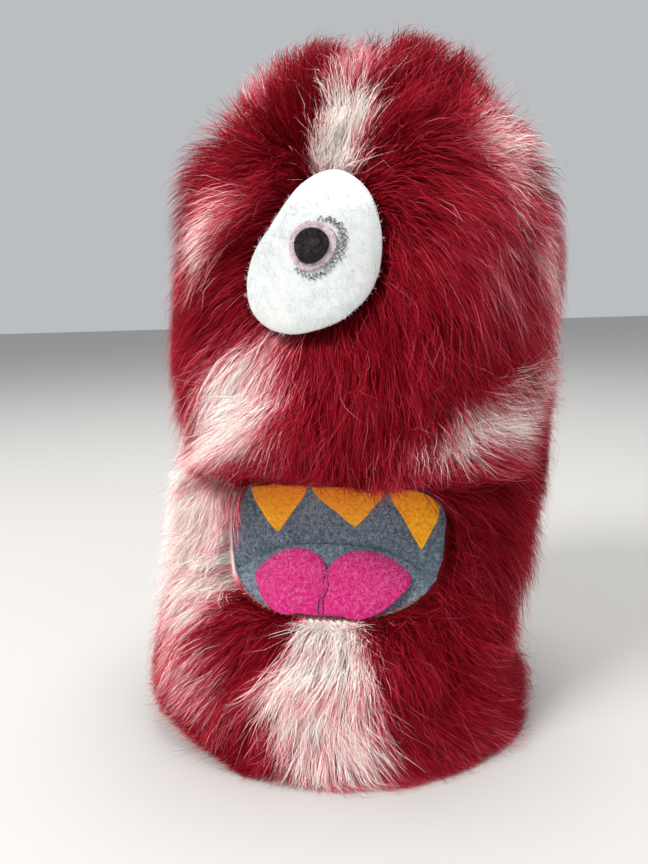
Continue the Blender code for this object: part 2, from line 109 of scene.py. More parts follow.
def leaned(points):
    """The same points with the puppet's sideways lean, for an array of them."""
    moved = np.array(points, float)
    moved[..., 0] += LEAN * (moved[..., 2] - LEAN_LEVEL)
    return moved


def softened(share):
    """A share from 0 to 1, with a soft turn at both ends."""
    return share * share * (3 - 2 * share)


def soft_noise(across, up, cell, seed):
    """Smooth noise from -1 to 1 round the tube: across in radians, up and cell in metres."""
    columns = max(3, round(2 * math.pi * CLOTH_RADIUS / cell))
    grid = np.random.default_rng(seed).uniform(-1, 1, (columns, 80))
    a = (across / (2 * math.pi) + 0.5) * columns
    b = up / cell + 3
    ia, ib = np.floor(a).astype(int), np.floor(b).astype(int)
    fa, fb = softened(a - ia), softened(b - ib)
    ib = np.clip(ib, 0, 78)
    low = grid[ia % columns, ib] * (1 - fa) + grid[(ia + 1) % columns, ib] * fa
    high = grid[ia % columns, ib + 1] * (1 - fa) + grid[(ia + 1) % columns, ib + 1] * fa
    return low * (1 - fb) + high * fb


def patch_share(azimuth, climb, patches):
    """How far into a patch each place is, 0 outside and about 1 in its middle."""
    azimuth = azimuth + 2.5 * MM / CLOTH_RADIUS * soft_noise(azimuth, climb, 9 * MM, 11)
    climb = climb + 3.5 * MM * soft_noise(azimuth, climb, 8 * MM, 12)
    share = np.zeros_like(azimuth)
    for at, height, half_width, half_height, tilt, strength in patches:
        turn = (azimuth - math.radians(at) + math.pi) % (2 * math.pi) - math.pi
        x, y = turn * CLOTH_RADIUS / MM, climb / MM - height
        lean = math.radians(tilt)
        x, y = x * math.cos(lean) + y * math.sin(lean), y * math.cos(lean) - x * math.sin(lean)
        away = np.sqrt((x / half_width) ** 2 + (y / half_height) ** 2)
        inside = np.clip((1.5 - away) / 0.95, 0, 1)
        share = np.maximum(share, strength * softened(inside))
    return share


def mouth_share(azimuth, height):
    """0 in the middle of the mouth's rounded opening, 1 at its edge, and more outside it."""
    across = np.abs(azimuth) / MOUTH_TURN
    up = np.abs(height - MOUTH_MIDDLE) / MOUTH_HALF_HEIGHT
    return (across**MOUTH_SQUARENESS + up**MOUTH_SQUARENESS) ** (1 / MOUTH_SQUARENESS)


def hem_raised(points):
    """The hem is rucked up off the table at the puppet's right, which is -X."""
    azimuth = np.arctan2(points[..., 0], -points[..., 1])
    turn = (azimuth + math.radians(95) + math.pi) % (2 * math.pi) - math.pi
    share = np.clip(1 - np.abs(turn) / math.radians(75), 0, 1)
    share = softened(share) * np.clip(1 - points[..., 2] / (50 * MM), 0, 1)
    raised = points.copy()
    raised[..., 2] += HEM_RISE * share
    return raised


def paint_tones(mesh, tones):
    """Gives each point its place in the fur's colour chart: its tone across, and a place near the root,
    so the cloth is darkened with the chart's painted shade.
    """
    chart = mesh.uv_layers.new(name="OFBake")
    corner = np.empty(len(mesh.loops), int)
    mesh.loops.foreach_get("vertex_index", corner)
    # The fixed place up the chart paints shade on the cloth, as at the fibres' roots.
    places = np.stack((tones[corner], np.full(len(corner), 0.3)), axis=1)
    chart.data.foreach_set("uv", places.ravel().astype(np.float32))


def piece(name, mesh, material):
    made = bpy.data.objects.new(name, mesh)
    bpy.context.collection.objects.link(made)
    mesh.materials.append(material)
    return made


def fitted(made, body, slot, *old):
    """Sets a piece on one body and hides the plain pieces it stands for. The slot, its kind of stuff, is
    not used.
    """
    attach(made, body)
    if old:
        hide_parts(*old)
    return made


def new_material(name, roughness, sheen=0.0):
    """A fresh material, with its node tree, its shader and a function that adds nodes."""
    made = bpy.data.materials.new(name)
    made.use_nodes = True
    tree = made.node_tree
    shader = tree.nodes["Principled BSDF"]
    shader.inputs["Roughness"].default_value = roughness
    shader.inputs["Sheen Weight"].default_value = sheen

    def add(kind, **settings):
        node = tree.nodes.new("ShaderNode" + kind)
        for key, value in settings.items():
            if hasattr(node, key):
                setattr(node, key, value)
            else:
                node.inputs[key.replace("_", " ")].default_value = value
        return node

    return made, tree, shader, add


def wire(tree, *joins):
    """Joins nodes: each time an output of one to an input of another."""
    for source, out, target, into in joins:
        tree.links.new(source.outputs[out], target.inputs[into])


def ramp_stops(node, stops):
    """Sets a colour ramp's stops from (place, colour) pairs."""
    ramp = node.color_ramp
    while len(ramp.elements) < len(stops):
        ramp.elements.new(0.5)
    for element, (place, colour) in zip(ramp.elements, stops):
        element.position = place
        element.color = (*colour, 1)


# The fur's colour chart: tone from crimson to white across, root to tip upwards, with painted shade
# darkening the roots and painted light lifting the tips.
DEEP_RED, CRIMSON, ROSE = (0.075, 0.0008, 0.003), (0.26, 0.0015, 0.008), (0.55, 0.03, 0.06)
PINK, WHITE_HAIR = (0.88, 0.27, 0.33), (1.0, 0.95, 0.90)
fur_finish, tree, shader, add = new_material("pile_dyed_in_patches", 0.62)
shader.inputs["Specular IOR Level"].default_value = 0.05
chart = add("UVMap", uv_map="OFBake")
split = add("SeparateXYZ")
dye = add("ValToRGB")
ramp_stops(dye, ((0.0, DEEP_RED), (0.22, CRIMSON), (0.48, ROSE), (0.68, PINK), (0.9, WHITE_HAIR)))
# Painted shade and light up each fibre: darker at the root, a little lighter at the tip, and less of
# both on white fibres.
painted_root_shade = add("ValToRGB")
ramp_stops(painted_root_shade, ((0.0, (0.45, 0.42, 0.42)), (0.45, (0.9, 0.9, 0.9)), (1.0, (1.1, 1.1, 1.1))))
hair_to_hair = add("TexNoise", noise_dimensions="1D", Scale=230, Detail=2)
hair_shade = add("MapRange", From_Min=0.3, From_Max=0.7, To_Min=0.86, To_Max=1.1)
dye_with_root_shade = add("MixRGB", blend_type="MULTIPLY")
less_painted_shade_on_white = add("MapRange", From_Min=0.3, From_Max=0.9, To_Min=1, To_Max=0.15)
shaded = add("MixRGB", blend_type="MULTIPLY", Fac=1)
wire(
    tree, (chart, "UV", split, 0), (split, "X", dye, "Fac"), (split, "Y", painted_root_shade, "Fac"),
    (split, "X", hair_to_hair, "W"), (hair_to_hair, "Fac", hair_shade, "Value"),
    (split, "X", less_painted_shade_on_white, "Value"), (less_painted_shade_on_white, "Result", dye_with_root_shade, "Fac"),
    (dye, "Color", dye_with_root_shade, "Color1"), (painted_root_shade, "Color", dye_with_root_shade, "Color2"),
    (dye_with_root_shade, "Color", shaded, "Color1"), (hair_shade, "Result", shaded, "Color2"),
    (shaded, "Color", shader, "Base Color"),
)


def spun(ring, steps, merge=0.05 * MM, closed=False):
    """A line of (radius, height) places, turned once round the upright axis."""
    shape = bmesh.new()
    corners = [shape.verts.new((r, 0, z)) for r, z in ring]
    ends = corners[1:] + corners[:1] if closed else corners[1:]
    edges = [shape.edges.new(pair) for pair in zip(corners, ends)]
    bmesh.ops.spin(
        shape, geom=corners + edges, cent=(0, 0, 0), axis=(0, 0, 1),
        angle=2 * math.pi, steps=steps, use_merge=True,
    )
    bmesh.ops.remove_doubles(shape, verts=shape.verts, dist=merge)
    return shape


def keep_faces(shape, wanted):
    """Leaves only the faces whose middles pass wanted(azimuth, height)."""
    dropped = []
    for face in shape.faces:
        middle = face.calc_center_median()
        if not wanted(math.atan2(middle.x, -middle.y), middle.z):
            dropped.append(face)
    bmesh.ops.delete(shape, geom=dropped, context="FACES")


def meshed(name, shape):
    """The finished shape as a smooth mesh."""
    mesh = bpy.data.meshes.new(name)
    shape.to_mesh(mesh)
    shape.free()
    mesh.shade_smooth()
    return mesh


def cloth_shell(name, wanted):
    """The part of the cloth tube whose faces pass wanted(azimuth, height)."""
    shell = spun(zip(profile_r[::2], profile_z[::2]), 96)
    keep_faces(shell, wanted)
    for corner in shell.verts:
        azimuth = math.atan2(corner.co.x, -corner.co.y)
        edge = mouth_share(azimuth, corner.co.z)
        if edge < 1.18 and any(len(side.link_faces) == 1 for side in corner.link_edges):
            azimuth /= edge
            corner.co.x = CLOTH_RADIUS * math.sin(azimuth)
            corner.co.y = -CLOTH_RADIUS * math.cos(azimuth)
            corner.co.z = MOUTH_MIDDLE + (corner.co.z - MOUTH_MIDDLE) / edge
    bmesh.ops.recalc_face_normals(shell, faces=shell.faces)
    bmesh.ops.solidify(shell, geom=shell.faces[:], thickness=CLOTH_THICK)
    bmesh.ops.recalc_face_normals(shell, faces=shell.faces)
    mesh = meshed(name, shell)
    places = np.array([corner.co for corner in mesh.vertices])
    azimuth = np.arctan2(places[:, 0], -places[:, 1])
    share = patch_share(azimuth, np.interp(places[:, 2], profile_z, profile_climb), PATCHES)
    mesh.vertices.foreach_set("co", leaned(hem_raised(places)).ravel())
    paint_tones(mesh, 0.1 + 0.75 * np.clip(share, 0, 1))
    return piece(name, mesh, fur_finish)


body_cloth = cloth_shell(
    "body_cloth",
    lambda turn, high: mouth_share(turn, high) > 1 and (abs(turn) > CHIN_TURN or high > MOUTH_MIDDLE),
)
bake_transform(body_cloth)
chin_cloth = cloth_shell(
    "chin_cloth",
    lambda turn, high: mouth_share(turn, high) > 1 and abs(turn) <= CHIN_TURN and high < MOUTH_MIDDLE,
)
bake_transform(chin_cloth)

# ----------------------------------------
# Long pile. Acrylic fibres about 25 mm long, knitted into the backing cloth. They stand in soft
# tufts, hang downwards, sweep away from the face to the sides, stand up in a messy crest on the
# crown, and are short round the eye and the mouth.
STRANDS = 238000
STRANDS_AT_MOST = 28300
JOINTS_IN_STRAND = 5
STRAND_WIDTH = 0.21 * MM
PILE_LIFT = 13.5 * MM
PILE_DRAPE = 15.5 * MM
WIDE_TIP = 5.5 * MM
MOST_RIGHT, MOST_LEFT, MOST_DEEP = 68.6 * MM, -71.9 * MM, 66.4 * MM
EDGE_LIFT = 14 * MM
TIP_TOP, BENDING_FROM = 218.4 * MM, 200 * MM
# How far the tips may reach from the middle line, for each height.
TIP_HEIGHTS = np.array((0, 20, 150, 165, 176, 186, 196, 206, 213, 218)) * MM
TIP_RADII = np.array((64, 62.8, 62.8, 61.5, 57, 50.5, 42, 31, 22, 12)) * MM
CRIMSON_TONE, WHITE_TONE = 0.17, 0.92
EYE_AT, EYE_UP = math.radians(-5.2), 145.5 * MM
# The eye's outline: a round of this radius, with one to three gentle waves in it.
EYE_ROUND = 19.2 * MM
EYE_WAVES = ((1, 0.2, -1.05), (2, -0.9, 2.4), (3, -0.3, -1.3))
EYE_RADIUS = 53 * MM
STRAY_SHARE = 0.10
SHOULDER_LIFT, SKIRT_LIFT = 6 * MM, 7 * MM
LIP_RIM, LIP_FIBRE = 4.5 * MM, 3.4 * MM
CRIMP = 0.4 * MM

rng = np.random.default_rng(7)


def eased(value, start, end):
    """0 before start, 1 after end, and a soft turn from one to the other."""
    return softened(np.clip((value - start) / (end - start), 0, 1))


def eye_reach(turn):
    waves = sum(a * np.cos(k * turn) + b * np.sin(k * turn) for k, a, b in EYE_WAVES)
    return EYE_ROUND + waves * MM


def eye_distance(azimuth, climb):
    """Distance from the eye's middle, 1 at its edge, and the direction away from it."""
    x = (azimuth - EYE_AT) * (CLOTH_RADIUS + 7 * MM)
    y = climb - EYE_UP
    long = np.hypot(x, y) + 1e-9
    return long / eye_reach(np.arctan2(y, x)), x / long, y / long


# Roots, spread evenly over the cloth, and a little thicker on the face side.
area_so_far = np.concatenate(
    ([0], np.cumsum(np.diff(profile_climb) * (profile_r[1:] + profile_r[:-1]) / 2))
)
climb = np.interp(rng.uniform(0, area_so_far[-1], STRANDS), area_so_far, profile_climb)
azimuth = rng.uniform(-math.pi, math.pi, STRANDS)
azimuth = azimuth - 0.12 * np.sin(azimuth)
root_r = np.interp(climb, profile_climb, profile_r)
root_z = np.interp(climb, profile_climb, profile_z)
eye_share, eye_across, eye_up = eye_distance(azimuth, climb)
gap = (mouth_share(azimuth, root_z) - 1) * 26 * MM
kept = (eye_share > 0.95) & (gap > 0.2 * MM)
azimuth, climb, root_r, root_z = azimuth[kept], climb[kept], root_r[kept], root_z[kept]
eye_share, eye_across, eye_up, gap = eye_share[kept], eye_across[kept], eye_up[kept], gap[kept]
count = len(azimuth)

# Directions on the cloth at each root: out of it, round it and up it.
slope_r = np.interp(climb, profile_climb, np.gradient(profile_r, profile_climb))
slope_z = np.interp(climb, profile_climb, np.gradient(profile_z, profile_climb))
long = np.hypot(slope_r, slope_z)
slope_r, slope_z = slope_r / long, slope_z / long
face_x, face_y = np.sin(azimuth), -np.cos(azimuth)
outward = np.stack((slope_z * face_x, slope_z * face_y, -slope_r), axis=1)
upward = np.stack((slope_r * face_x, slope_r * face_y, slope_z), axis=1)
sideways = np.stack((np.cos(azimuth), np.sin(azimuth), np.zeros(count)), axis=1)
root = hem_raised(np.stack((root_r * face_x, root_r * face_y, root_z), axis=1))


def lumps(cell, seed):
    """Soft noise at each root, with its cell in millimetres."""
    return soft_noise(azimuth, climb, cell * MM, seed)


# Which way the pile is combed, and how far it stands up and hangs.
crown = eased(climb, 158 * MM, 192 * MM)
comb_across = 0.5 * np.sin(azimuth) * (1 - 0.4 * crown) + 0.16 * np.sin(2 * azimuth)
comb_up = -1 + 1.55 * crown
near_eye = np.clip(2.0 - eye_share, 0, 1)
comb_across += 1.1 * near_eye * eye_across
comb_up += 1.1 * near_eye * eye_up
cheek = eased(azimuth, 0.5, 0.9) * eased(-azimuth, -1.7, -1.2) * eased(root_z, 84 * MM, 96 * MM)
cheek *= eased(-root_z, -130 * MM, -112 * MM)
comb_across += 0.9 * cheek
comb_up += 0.75 * cheek
comb_across += 0.62 * lumps(17, 21)
comb_across += 0.5 * lumps(7, 26)
comb_up += 0.42 * lumps(15, 22)
comb_up += 0.42 * lumps(6.5, 27)
lift = PILE_LIFT * (1 + 0.26 * lumps(14, 23))
lift *= 1 + 0.16 * lumps(6, 28) + 0.25 * crown * lumps(12, 29)
drape = PILE_DRAPE * (1 + 0.25 * lumps(12, 24))
shoulder = eased(-azimuth, 0.5, 1.0) * eased(azimuth, -2.6, -2.0) * eased(climb, 158 * MM, 176 * MM)
shoulder *= eased(-climb, -216 * MM, -198 * MM)
lift += SHOULDER_LIFT * shoulder
wide = eased(-azimuth, 0.35, 0.9) * eased(azimuth, -2.6, -2.1) * eased(-root_z, -95 * MM, -45 * MM)
lift += SKIRT_LIFT * wide
waist = eased(-azimuth, 0.5, 1.0) * np.clip(1 - np.abs(root_z - 104 * MM) / (24 * MM), 0, 1)
lift -= 3.5 * MM * waist
lift -= 3.5 * MM * eased(azimuth, 0.7, 1.4) * eased(-root_z, -80 * MM, -40 * MM)
lift += 4 * MM * eased(-root_z, -26 * MM, -6 * MM)
lift += 2 * MM * crown + 7 * MM * eased(root_z, 178 * MM, 188 * MM)
drape *= 1 - 0.45 * crown
trimmed = eased(eye_share, 0.98, 1.75)
lift *= 0.42 + 0.58 * trimmed
drape *= 0.5 + 0.5 * trimmed
lip_trim = eased(gap, 0, 13 * MM)
lift *= 0.36 + 0.64 * lip_trim
hanging = (root_z > MOUTH_MIDDLE) * (
    np.exp(-((azimuth - 0.27) / 0.15) ** 2) + eased(azimuth, 0.42, 0.6) + eased(-azimuth, 0.5, 0.65)
)
drape *= 0.45 + 0.55 * np.maximum(lip_trim, np.clip(hanging, 0, 1))

# Small tufts: the tips in each draw together.
TUFT = 5.4 * MM
tuft_row = np.floor(climb / TUFT).astype(int)
tuft_columns = np.maximum(1, np.round(2 * math.pi * root_r / TUFT)).astype(int)
tuft_place = (azimuth / (2 * math.pi) + 0.5) * tuft_columns + 0.5 * (tuft_row % 2)
tuft_column = np.floor(tuft_place).astype(int)
tuft_spread = np.random.default_rng(31).uniform(-1, 1, (64, 80, 4))
spread = tuft_spread[tuft_column % 64, tuft_row % 80]
off_across = (tuft_column + 0.5 + 0.35 * spread[:, 0] - tuft_place) * TUFT
off_up = (tuft_row + 0.5 + 0.35 * spread[:, 1]) * TUFT - climb
gather = 0.5 + 0.25 * spread[:, 2]
# Bigger locks, on the crown and shoulders most of all, whose tips draw to loose points.
LOCK = 15 * MM
lock_row = np.floor(climb / LOCK).astype(int)
lock_columns = np.maximum(3, np.round(2 * math.pi * np.maximum(root_r, 20 * MM) / LOCK)).astype(int)
lock_place = (azimuth / (2 * math.pi) + 0.5) * lock_columns + 0.5 * (lock_row % 2)
lock_column = np.floor(lock_place).astype(int)
lock_spread = np.random.default_rng(33).uniform(-1, 1, (64, 40, 4))[lock_column % 64, lock_row % 40]
draw_in = (0.16 + 0.3 * crown) * (0.8 + 0.4 * lock_spread[:, 2])
lock_across = (lock_column + 0.5 + 0.5 * lock_spread[:, 0] - lock_place) * LOCK * draw_in
lock_up = ((lock_row + 0.5 + 0.5 * lock_spread[:, 1]) * LOCK - climb) * draw_in
lift *= 1 + (0.10 + 0.16 * crown) * lock_spread[:, 3]

stray = rng.random(count) < STRAY_SHARE
wild = 1 + 1.5 * stray
lift *= 1 + 0.10 * spread[:, 3] + 0.12 * rng.standard_normal(count) + 0.30 * stray
drape *= 1 + 0.16 * rng.standard_normal(count)
loose = 2.5 * MM * wild
side_reach = comb_across * drape + gather * off_across + lock_across + loose * rng.standard_normal(count)
up_reach = comb_up * drape + gather * off_up + lock_up + loose * rng.standard_normal(count)
# Round the mouth the shortest fibres lean in over the felt's edge.
rim = (1 - eased(gap, 0, LIP_RIM)) * (gap < LIP_RIM)
beside = eased(np.abs(azimuth) / MOUTH_TURN, 0.75, 1.0)
side_reach -= 4.2 * MM * rim * beside * np.sign(azimuth)
below = rim * (1 - beside) * (root_z < MOUTH_MIDDLE)
up_reach = up_reach * (1 - below) + 2.2 * MM * below
lift = np.where(gap < LIP_RIM, np.maximum(lift, LIP_FIBRE), lift)
tip = root + outward * lift[:, None] + sideways * side_reach[:, None] + upward * up_reach[:, None]
bend = root + outward * (0.95 * lift)[:, None]
bend += sideways * (0.22 * side_reach)[:, None] + upward * (0.22 * up_reach)[:, None]

# The pile above the mouth ends just over the upper lip, in uneven tufts.
over_mouth = (np.abs(azimuth) < 0.95) & (root_z > MOUTH_HIGH - 2 * MM) & (root_z < 130 * MM)
fringe = MOUTH_HIGH + 3 * MM - 6.5 * MM * np.clip(lumps(11, 25), 0, 1)
fringe -= 5 * MM * np.exp(-((azimuth - 0.27) / 0.13) ** 2) + 3 * MM * eased(azimuth, 0.45, 0.6)
fringe += 1.3 * MM * rng.standard_normal(count) - 5 * MM * (rng.random(count) < 0.02)
tip[:, 2] = np.where(over_mouth & (tip[:, 2] < fringe), fringe, tip[:, 2])

points = np.empty((count, JOINTS_IN_STRAND, 3))
for joint in range(JOINTS_IN_STRAND):
    t = joint / (JOINTS_IN_STRAND - 1)
    points[:, joint] = (1 - t) ** 2 * root + 2 * t * (1 - t) * bend + t * t * tip
    if joint:
        points[:, joint] += CRIMP * t * (wild * rng.standard_normal((3, count))).T


def widest(heights):
    """How far out each fibre may reach at the given heights, one or several for each."""
    room = np.interp(heights, TIP_HEIGHTS, TIP_RADII)
    across_shoulder = shoulder if heights.ndim == 1 else shoulder[:, None]
    across_skirt = wide if heights.ndim == 1 else wide[:, None]
    return room + SHOULDER_LIFT * across_shoulder + WIDE_TIP * across_skirt


# Fibres that reach too far are cut shorter, unevenly, so that the outline stays shaggy.
too_far = np.hypot(points[:, -1, 0], points[:, -1, 1]) - widest(points[:, -1, 2])
too_far = np.clip(too_far / (12 * MM), 0, 1) * (1 - 0.6 * stray)
cut_back = 1 - too_far * (0.75 + 0.3 * lumps(9, 30))
points = points[:, :1] + (points - points[:, :1]) * np.clip(cut_back, 0.2, 1)[:, None, None]
reach = np.hypot(points[..., 0], points[..., 1])
limit = widest(points[..., 2]) + 3 * MM + (5 * MM * stray * rng.random(count))[:, None]
points[..., :2] *= np.minimum(1, limit / np.maximum(reach, 1e-6))[..., None]
# The lowest fibres end just over the table, and higher where the hem is rucked up.
raised_edge = softened(np.clip(1 - np.abs(azimuth + 1.15), 0, 1))
low_end = (0.3 + 1.2 * rng.random(count)) * MM
low_end += EDGE_LIFT * raised_edge * (0.75 + 0.35 * rng.random(count))
low_end = np.minimum(low_end, np.maximum(root[:, 2] + 5 * MM, 0.3 * MM))
points[..., 2] = np.maximum(points[..., 2], low_end[:, None])
# The crest's tallest tips bend over, more and more the higher they stand.
room = TIP_TOP - BENDING_FROM
over = np.maximum(points[..., 2] - BENDING_FROM, 0)
points[..., 2] = np.minimum(points[..., 2], BENDING_FROM) + room * (1 - np.exp(-over / room))
shift = LEAN * (points[..., 2] - LEAN_LEVEL)
points[..., 0] = np.clip(points[..., 0], MOST_LEFT - shift, MOST_RIGHT - shift)
points[..., 1] = np.clip(points[..., 1], -MOST_DEEP, MOST_DEEP)

# Tones: the patch at the root, mixed hair by hair, and frosted tips.
share = patch_share(azimuth, climb, PATCHES) + 0.17 * rng.standard_normal(count)
share = softened(np.clip(share, 0, 1))
frost = patch_share(azimuth, climb, FROST) * (0.5 + 0.5 * rng.random(count))
frost *= rng.random(count) < 0.5
root_tone = CRIMSON_TONE + (WHITE_TONE - CRIMSON_TONE) * share + 0.045 * rng.standard_normal(count)
root_tone += 0.05 * (1 - share) * lumps(10, 32)
root_tone += 0.05 * (1 - share) * spread[:, 3]
striped = eased(-climb, -46 * MM, -26 * MM) + 0.6 * (azimuth < -0.7) * (root_z < 92 * MM)
bands = 0.3 * share * (np.sin(climb / (1.15 * MM)) > 0.3) * np.clip(striped, 0, 1)
root_tone = np.clip(root_tone - bands, 0.02, 0.98)
frost += 0.75 * stray * rng.random(count)
tip_tone = np.clip(root_tone + 0.55 * frost * (1 - share) + 0.04, 0.02, 0.99)

# Flat fibres, turned at random about half a right angle from facing outwards.
WIDTHS = np.array((0.9, 1.0, 0.85, 0.6, 0.0))
half_width = STRAND_WIDTH / 2 * np.where(stray, 0.45, 1) * rng.uniform(0.7, 1.15, count)
along = np.gradient(points, axis=1)
facing = outward + 0.55 * rng.standard_normal((count, 3))
blade = np.cross(along, facing[:, None, :])
blade /= np.linalg.norm(blade, axis=2, keepdims=True) + 1e-12
blade *= half_width[:, None, None] * WIDTHS[None, :, None]


def fibre_mesh(name, points, blade, root_tone, tip_tone, tone_width=0.0012):
    """One mesh of flat, pointed fibres. Each takes a narrow strip of the colour chart."""
    number, joints = points.shape[:2]
    body = joints - 1
    each = 2 * body + 1
    corners = np.empty((number, each, 3), np.float32)
    corners[:, 0:2 * body:2] = points[:, :body] - blade[:, :body]
    corners[:, 1:2 * body:2] = points[:, :body] + blade[:, :body]
    corners[:, -1] = points[:, -1]
    ring = [index for k in range(body - 1) for index in (2 * k, 2 * k + 1, 2 * k + 3, 2 * k + 2)]
    ring += [2 * body - 2, 2 * body - 1, 2 * body]
    ring = np.array(ring)
    sizes = np.array([4] * (body - 1) + [3])
    mesh = bpy.data.meshes.new(name)
    mesh.vertices.add(number * each)
    mesh.vertices.foreach_set("co", corners.ravel())
    mesh.loops.add(number * len(ring))
    mesh.loops.foreach_set("vertex_index", (ring + each * np.arange(number)[:, None]).ravel())
    mesh.polygons.add(number * body)
    all_sizes = np.tile(sizes, number)
    mesh.polygons.foreach_set("loop_start", np.concatenate(([0], np.cumsum(all_sizes)[:-1])))
    mesh.polygons.foreach_set("use_smooth", np.ones(number * body, bool))
    mesh.update(calc_edges=True)
    height = np.append(np.repeat(np.arange(body) / body, 2), 1.0)
    side = np.append(np.tile((-0.5, 0.5), body), 0.0)
    tone = root_tone[:, None] + (tip_tone - root_tone)[:, None] * height**1.5
    places = np.empty((number, each, 2), np.float32)
    places[..., 0] = np.clip(tone + tone_width * side, 0.001, 0.999)
    # Up the chart from root to tip, where painted shade darkens the roots and painted light lifts the
    # tips.
    places[..., 1] = 0.01 + 0.98 * height
    chart = mesh.uv_layers.new(name="OFBake")
    chart.data.foreach_set("uv", places[:, ring].ravel())
    return mesh


# The pile is kept in panels: one with a single body is set on it, and the others stay where they are.
# Azimuth and height limits in degrees and millimetres, then the bodies, and where the bend starts and
# ends.
side_of = np.degrees(azimuth)
high = root_z / MM
panels = [
    ("crown_pile_left", (-180, 0), (150, 300), ("head",)),
    ("crown_pile_right", (0, 180), (150, 300), ("head",)),
    ("face_pile", (-50, 50), (80, 150), ("head",)),
    ("chin_pile_middle", (-28, 28), (0, 45), ("sleeve", "jaw", (0, -45, 4), (0, -45, 38))),
]
for word, sign in (("left", -1), ("right", 1)):
    corner = ("sleeve", "jaw", (sign * 46, -30, 30), (sign * 30, -30, 42))
    sides = (
        ("chin_pile_" + word, 28, 62, 0, 56, corner),
        ("cheek_pile_" + word, 44, 80, 56, 150, ("sleeve", "head", (0, -20, 60), (0, -20, 86))),
        ("side_pile_" + word, 80, 110, 56, 150, ("sleeve", "head", (0, 0, 61), (0, 0, 102))),
        ("back_pile_" + word, 110, 145, 56, 150, ("sleeve", "head", (0, 30, 62), (0, 30, 116))),
        ("nape_pile_" + word, 145, 180, 56, 150, ("sleeve", "head", (0, 45, 62), (0, 45, 130))),
        ("skirt_pile_" + word, 62, 121, 0, 56, ("sleeve",)),
        ("hem_pile_" + word, 121, 180, 0, 56, ("sleeve",)),
    )
    for name, near, far, low, top, bodies in sides:
        panels.append((name, sorted((sign * near, sign * far)), (low, top), bodies))

fur_panels = {}
taken = np.zeros(count, bool)
for name, (first, last), (low, top), bodies in panels:
    members = (side_of >= first) & (side_of < last) & (high >= low) & (high < top) & ~taken
    taken |= members
    members = np.flatnonzero(members)[:STRANDS_AT_MOST]
    mesh = fibre_mesh(
        name, leaned(points[members]), blade[members], root_tone[members], tip_tone[members]
    )
    fur_panels[name] = piece(name, mesh, fur_finish)
    if len(bodies) == 1:
        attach(fur_panels[name], bodies[0])
    else:
        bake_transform(fur_panels[name])
for name, old in (
    ("face_pile", "face_fur"), ("nape_pile_left", "head_back_fur"),
    ("skirt_pile_left", "sleeve_front_fur"), ("hem_pile_left", "sleeve_back_fur"),
    ("chin_pile_middle", "chin_fur"),
):
    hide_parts(old)

# ----------------------------------------
# Felt mouth. Two pieces of mottled grey-blue wool felt make a shallow bowl, sewn to the cloth
# round the opening, and meet at the fold, which is the hinge. The fold droops at the corners.
LIP_RADIUS = 45.4 * MM
FOLD_DROOP = 11 * MM
BOWL_DEPTH = 2.6 * MM
FELT_THICK = 1.3 * MM
CORNER_DROP = math.radians(24)


def outline_point(turn):
    """A point of the mouth's rounded outline: turn 0 at its +X side, a quarter turn at its top."""
    power = 2 / MOUTH_SQUARENESS
    across = math.copysign(abs(math.cos(turn)) ** power, math.cos(turn)) * MOUTH_TURN
    up = math.copysign(abs(math.sin(turn)) ** power, math.sin(turn)) * MOUTH_HALF_HEIGHT
    return Vector((
        LIP_RADIUS * math.sin(across), -LIP_RADIUS * math.cos(across), MOUTH_MIDDLE + up,
    ))


FOLD_HALF = outline_point(-CORNER_DROP).x


def fold_point(x):
    share = min(1, abs(x) / FOLD_HALF)
    return Vector((x, FOLD.y, FOLD.z - FOLD_DROOP * share**2.6))


def mouth_wall(upper, x, out, forward=0.0):
    """A place on the mouth's lining: x across, out from the fold at 0 to the lip at 1."""
    turn = math.acos(min(1, (abs(math.asin(x / LIP_RADIUS)) / MOUTH_TURN) ** (MOUTH_SQUARENESS / 2)))
    lip = outline_point(turn if upper else -turn)
    lip = Vector((x, -math.sqrt(LIP_RADIUS**2 - x * x), lip.z))
    place = fold_point(x).lerp(lip, out)
    place.y += BOWL_DEPTH * math.sin(math.pi * min(1, max(0, out))) * (1 - (x / FOLD_HALF) ** 2)
    side = 1 if upper else -1
    slope = math.atan2(abs(lip.z - fold_point(x).z), LIP_RADIUS - abs(FOLD.y))
    return place + forward * Vector((0, -math.sin(slope), -side * math.cos(slope)))


def lean_point(point):
    return Vector((point.x + LEAN * (point.z - LEAN_LEVEL), point.y, point.z))


def felt_piece(name, columns, rows, place, thick, material, soften=1):
    """Felt laid by place(u, v), both from 0 to 1, with soft cut edges and a slightly uneven face."""
    shape = bmesh.new()
    bmesh.ops.create_grid(shape, x_segments=columns, y_segments=rows, size=0.5)
    for corner in shape.verts:
        at = place(corner.co.x + 0.5, corner.co.y + 0.5)
        at += 0.16 * MM * soften * noise.noise_vector(at / (3.5 * MM))
        corner.co = lean_point(at)
    bmesh.ops.remove_doubles(shape, verts=shape.verts, dist=0.04 * MM)
    bmesh.ops.recalc_face_normals(shape, faces=shape.faces)
    made = piece(name, meshed(name, shape), material)
    wall = made.modifiers.new("thickness", "SOLIDIFY")
    wall.thickness, wall.offset = thick, 0
    edge = made.modifiers.new("soft_edge", "BEVEL")
    edge.width, edge.segments, edge.limit_method = thick * 0.3, 2, "ANGLE"
    edge.angle_limit = math.radians(50)
    return made


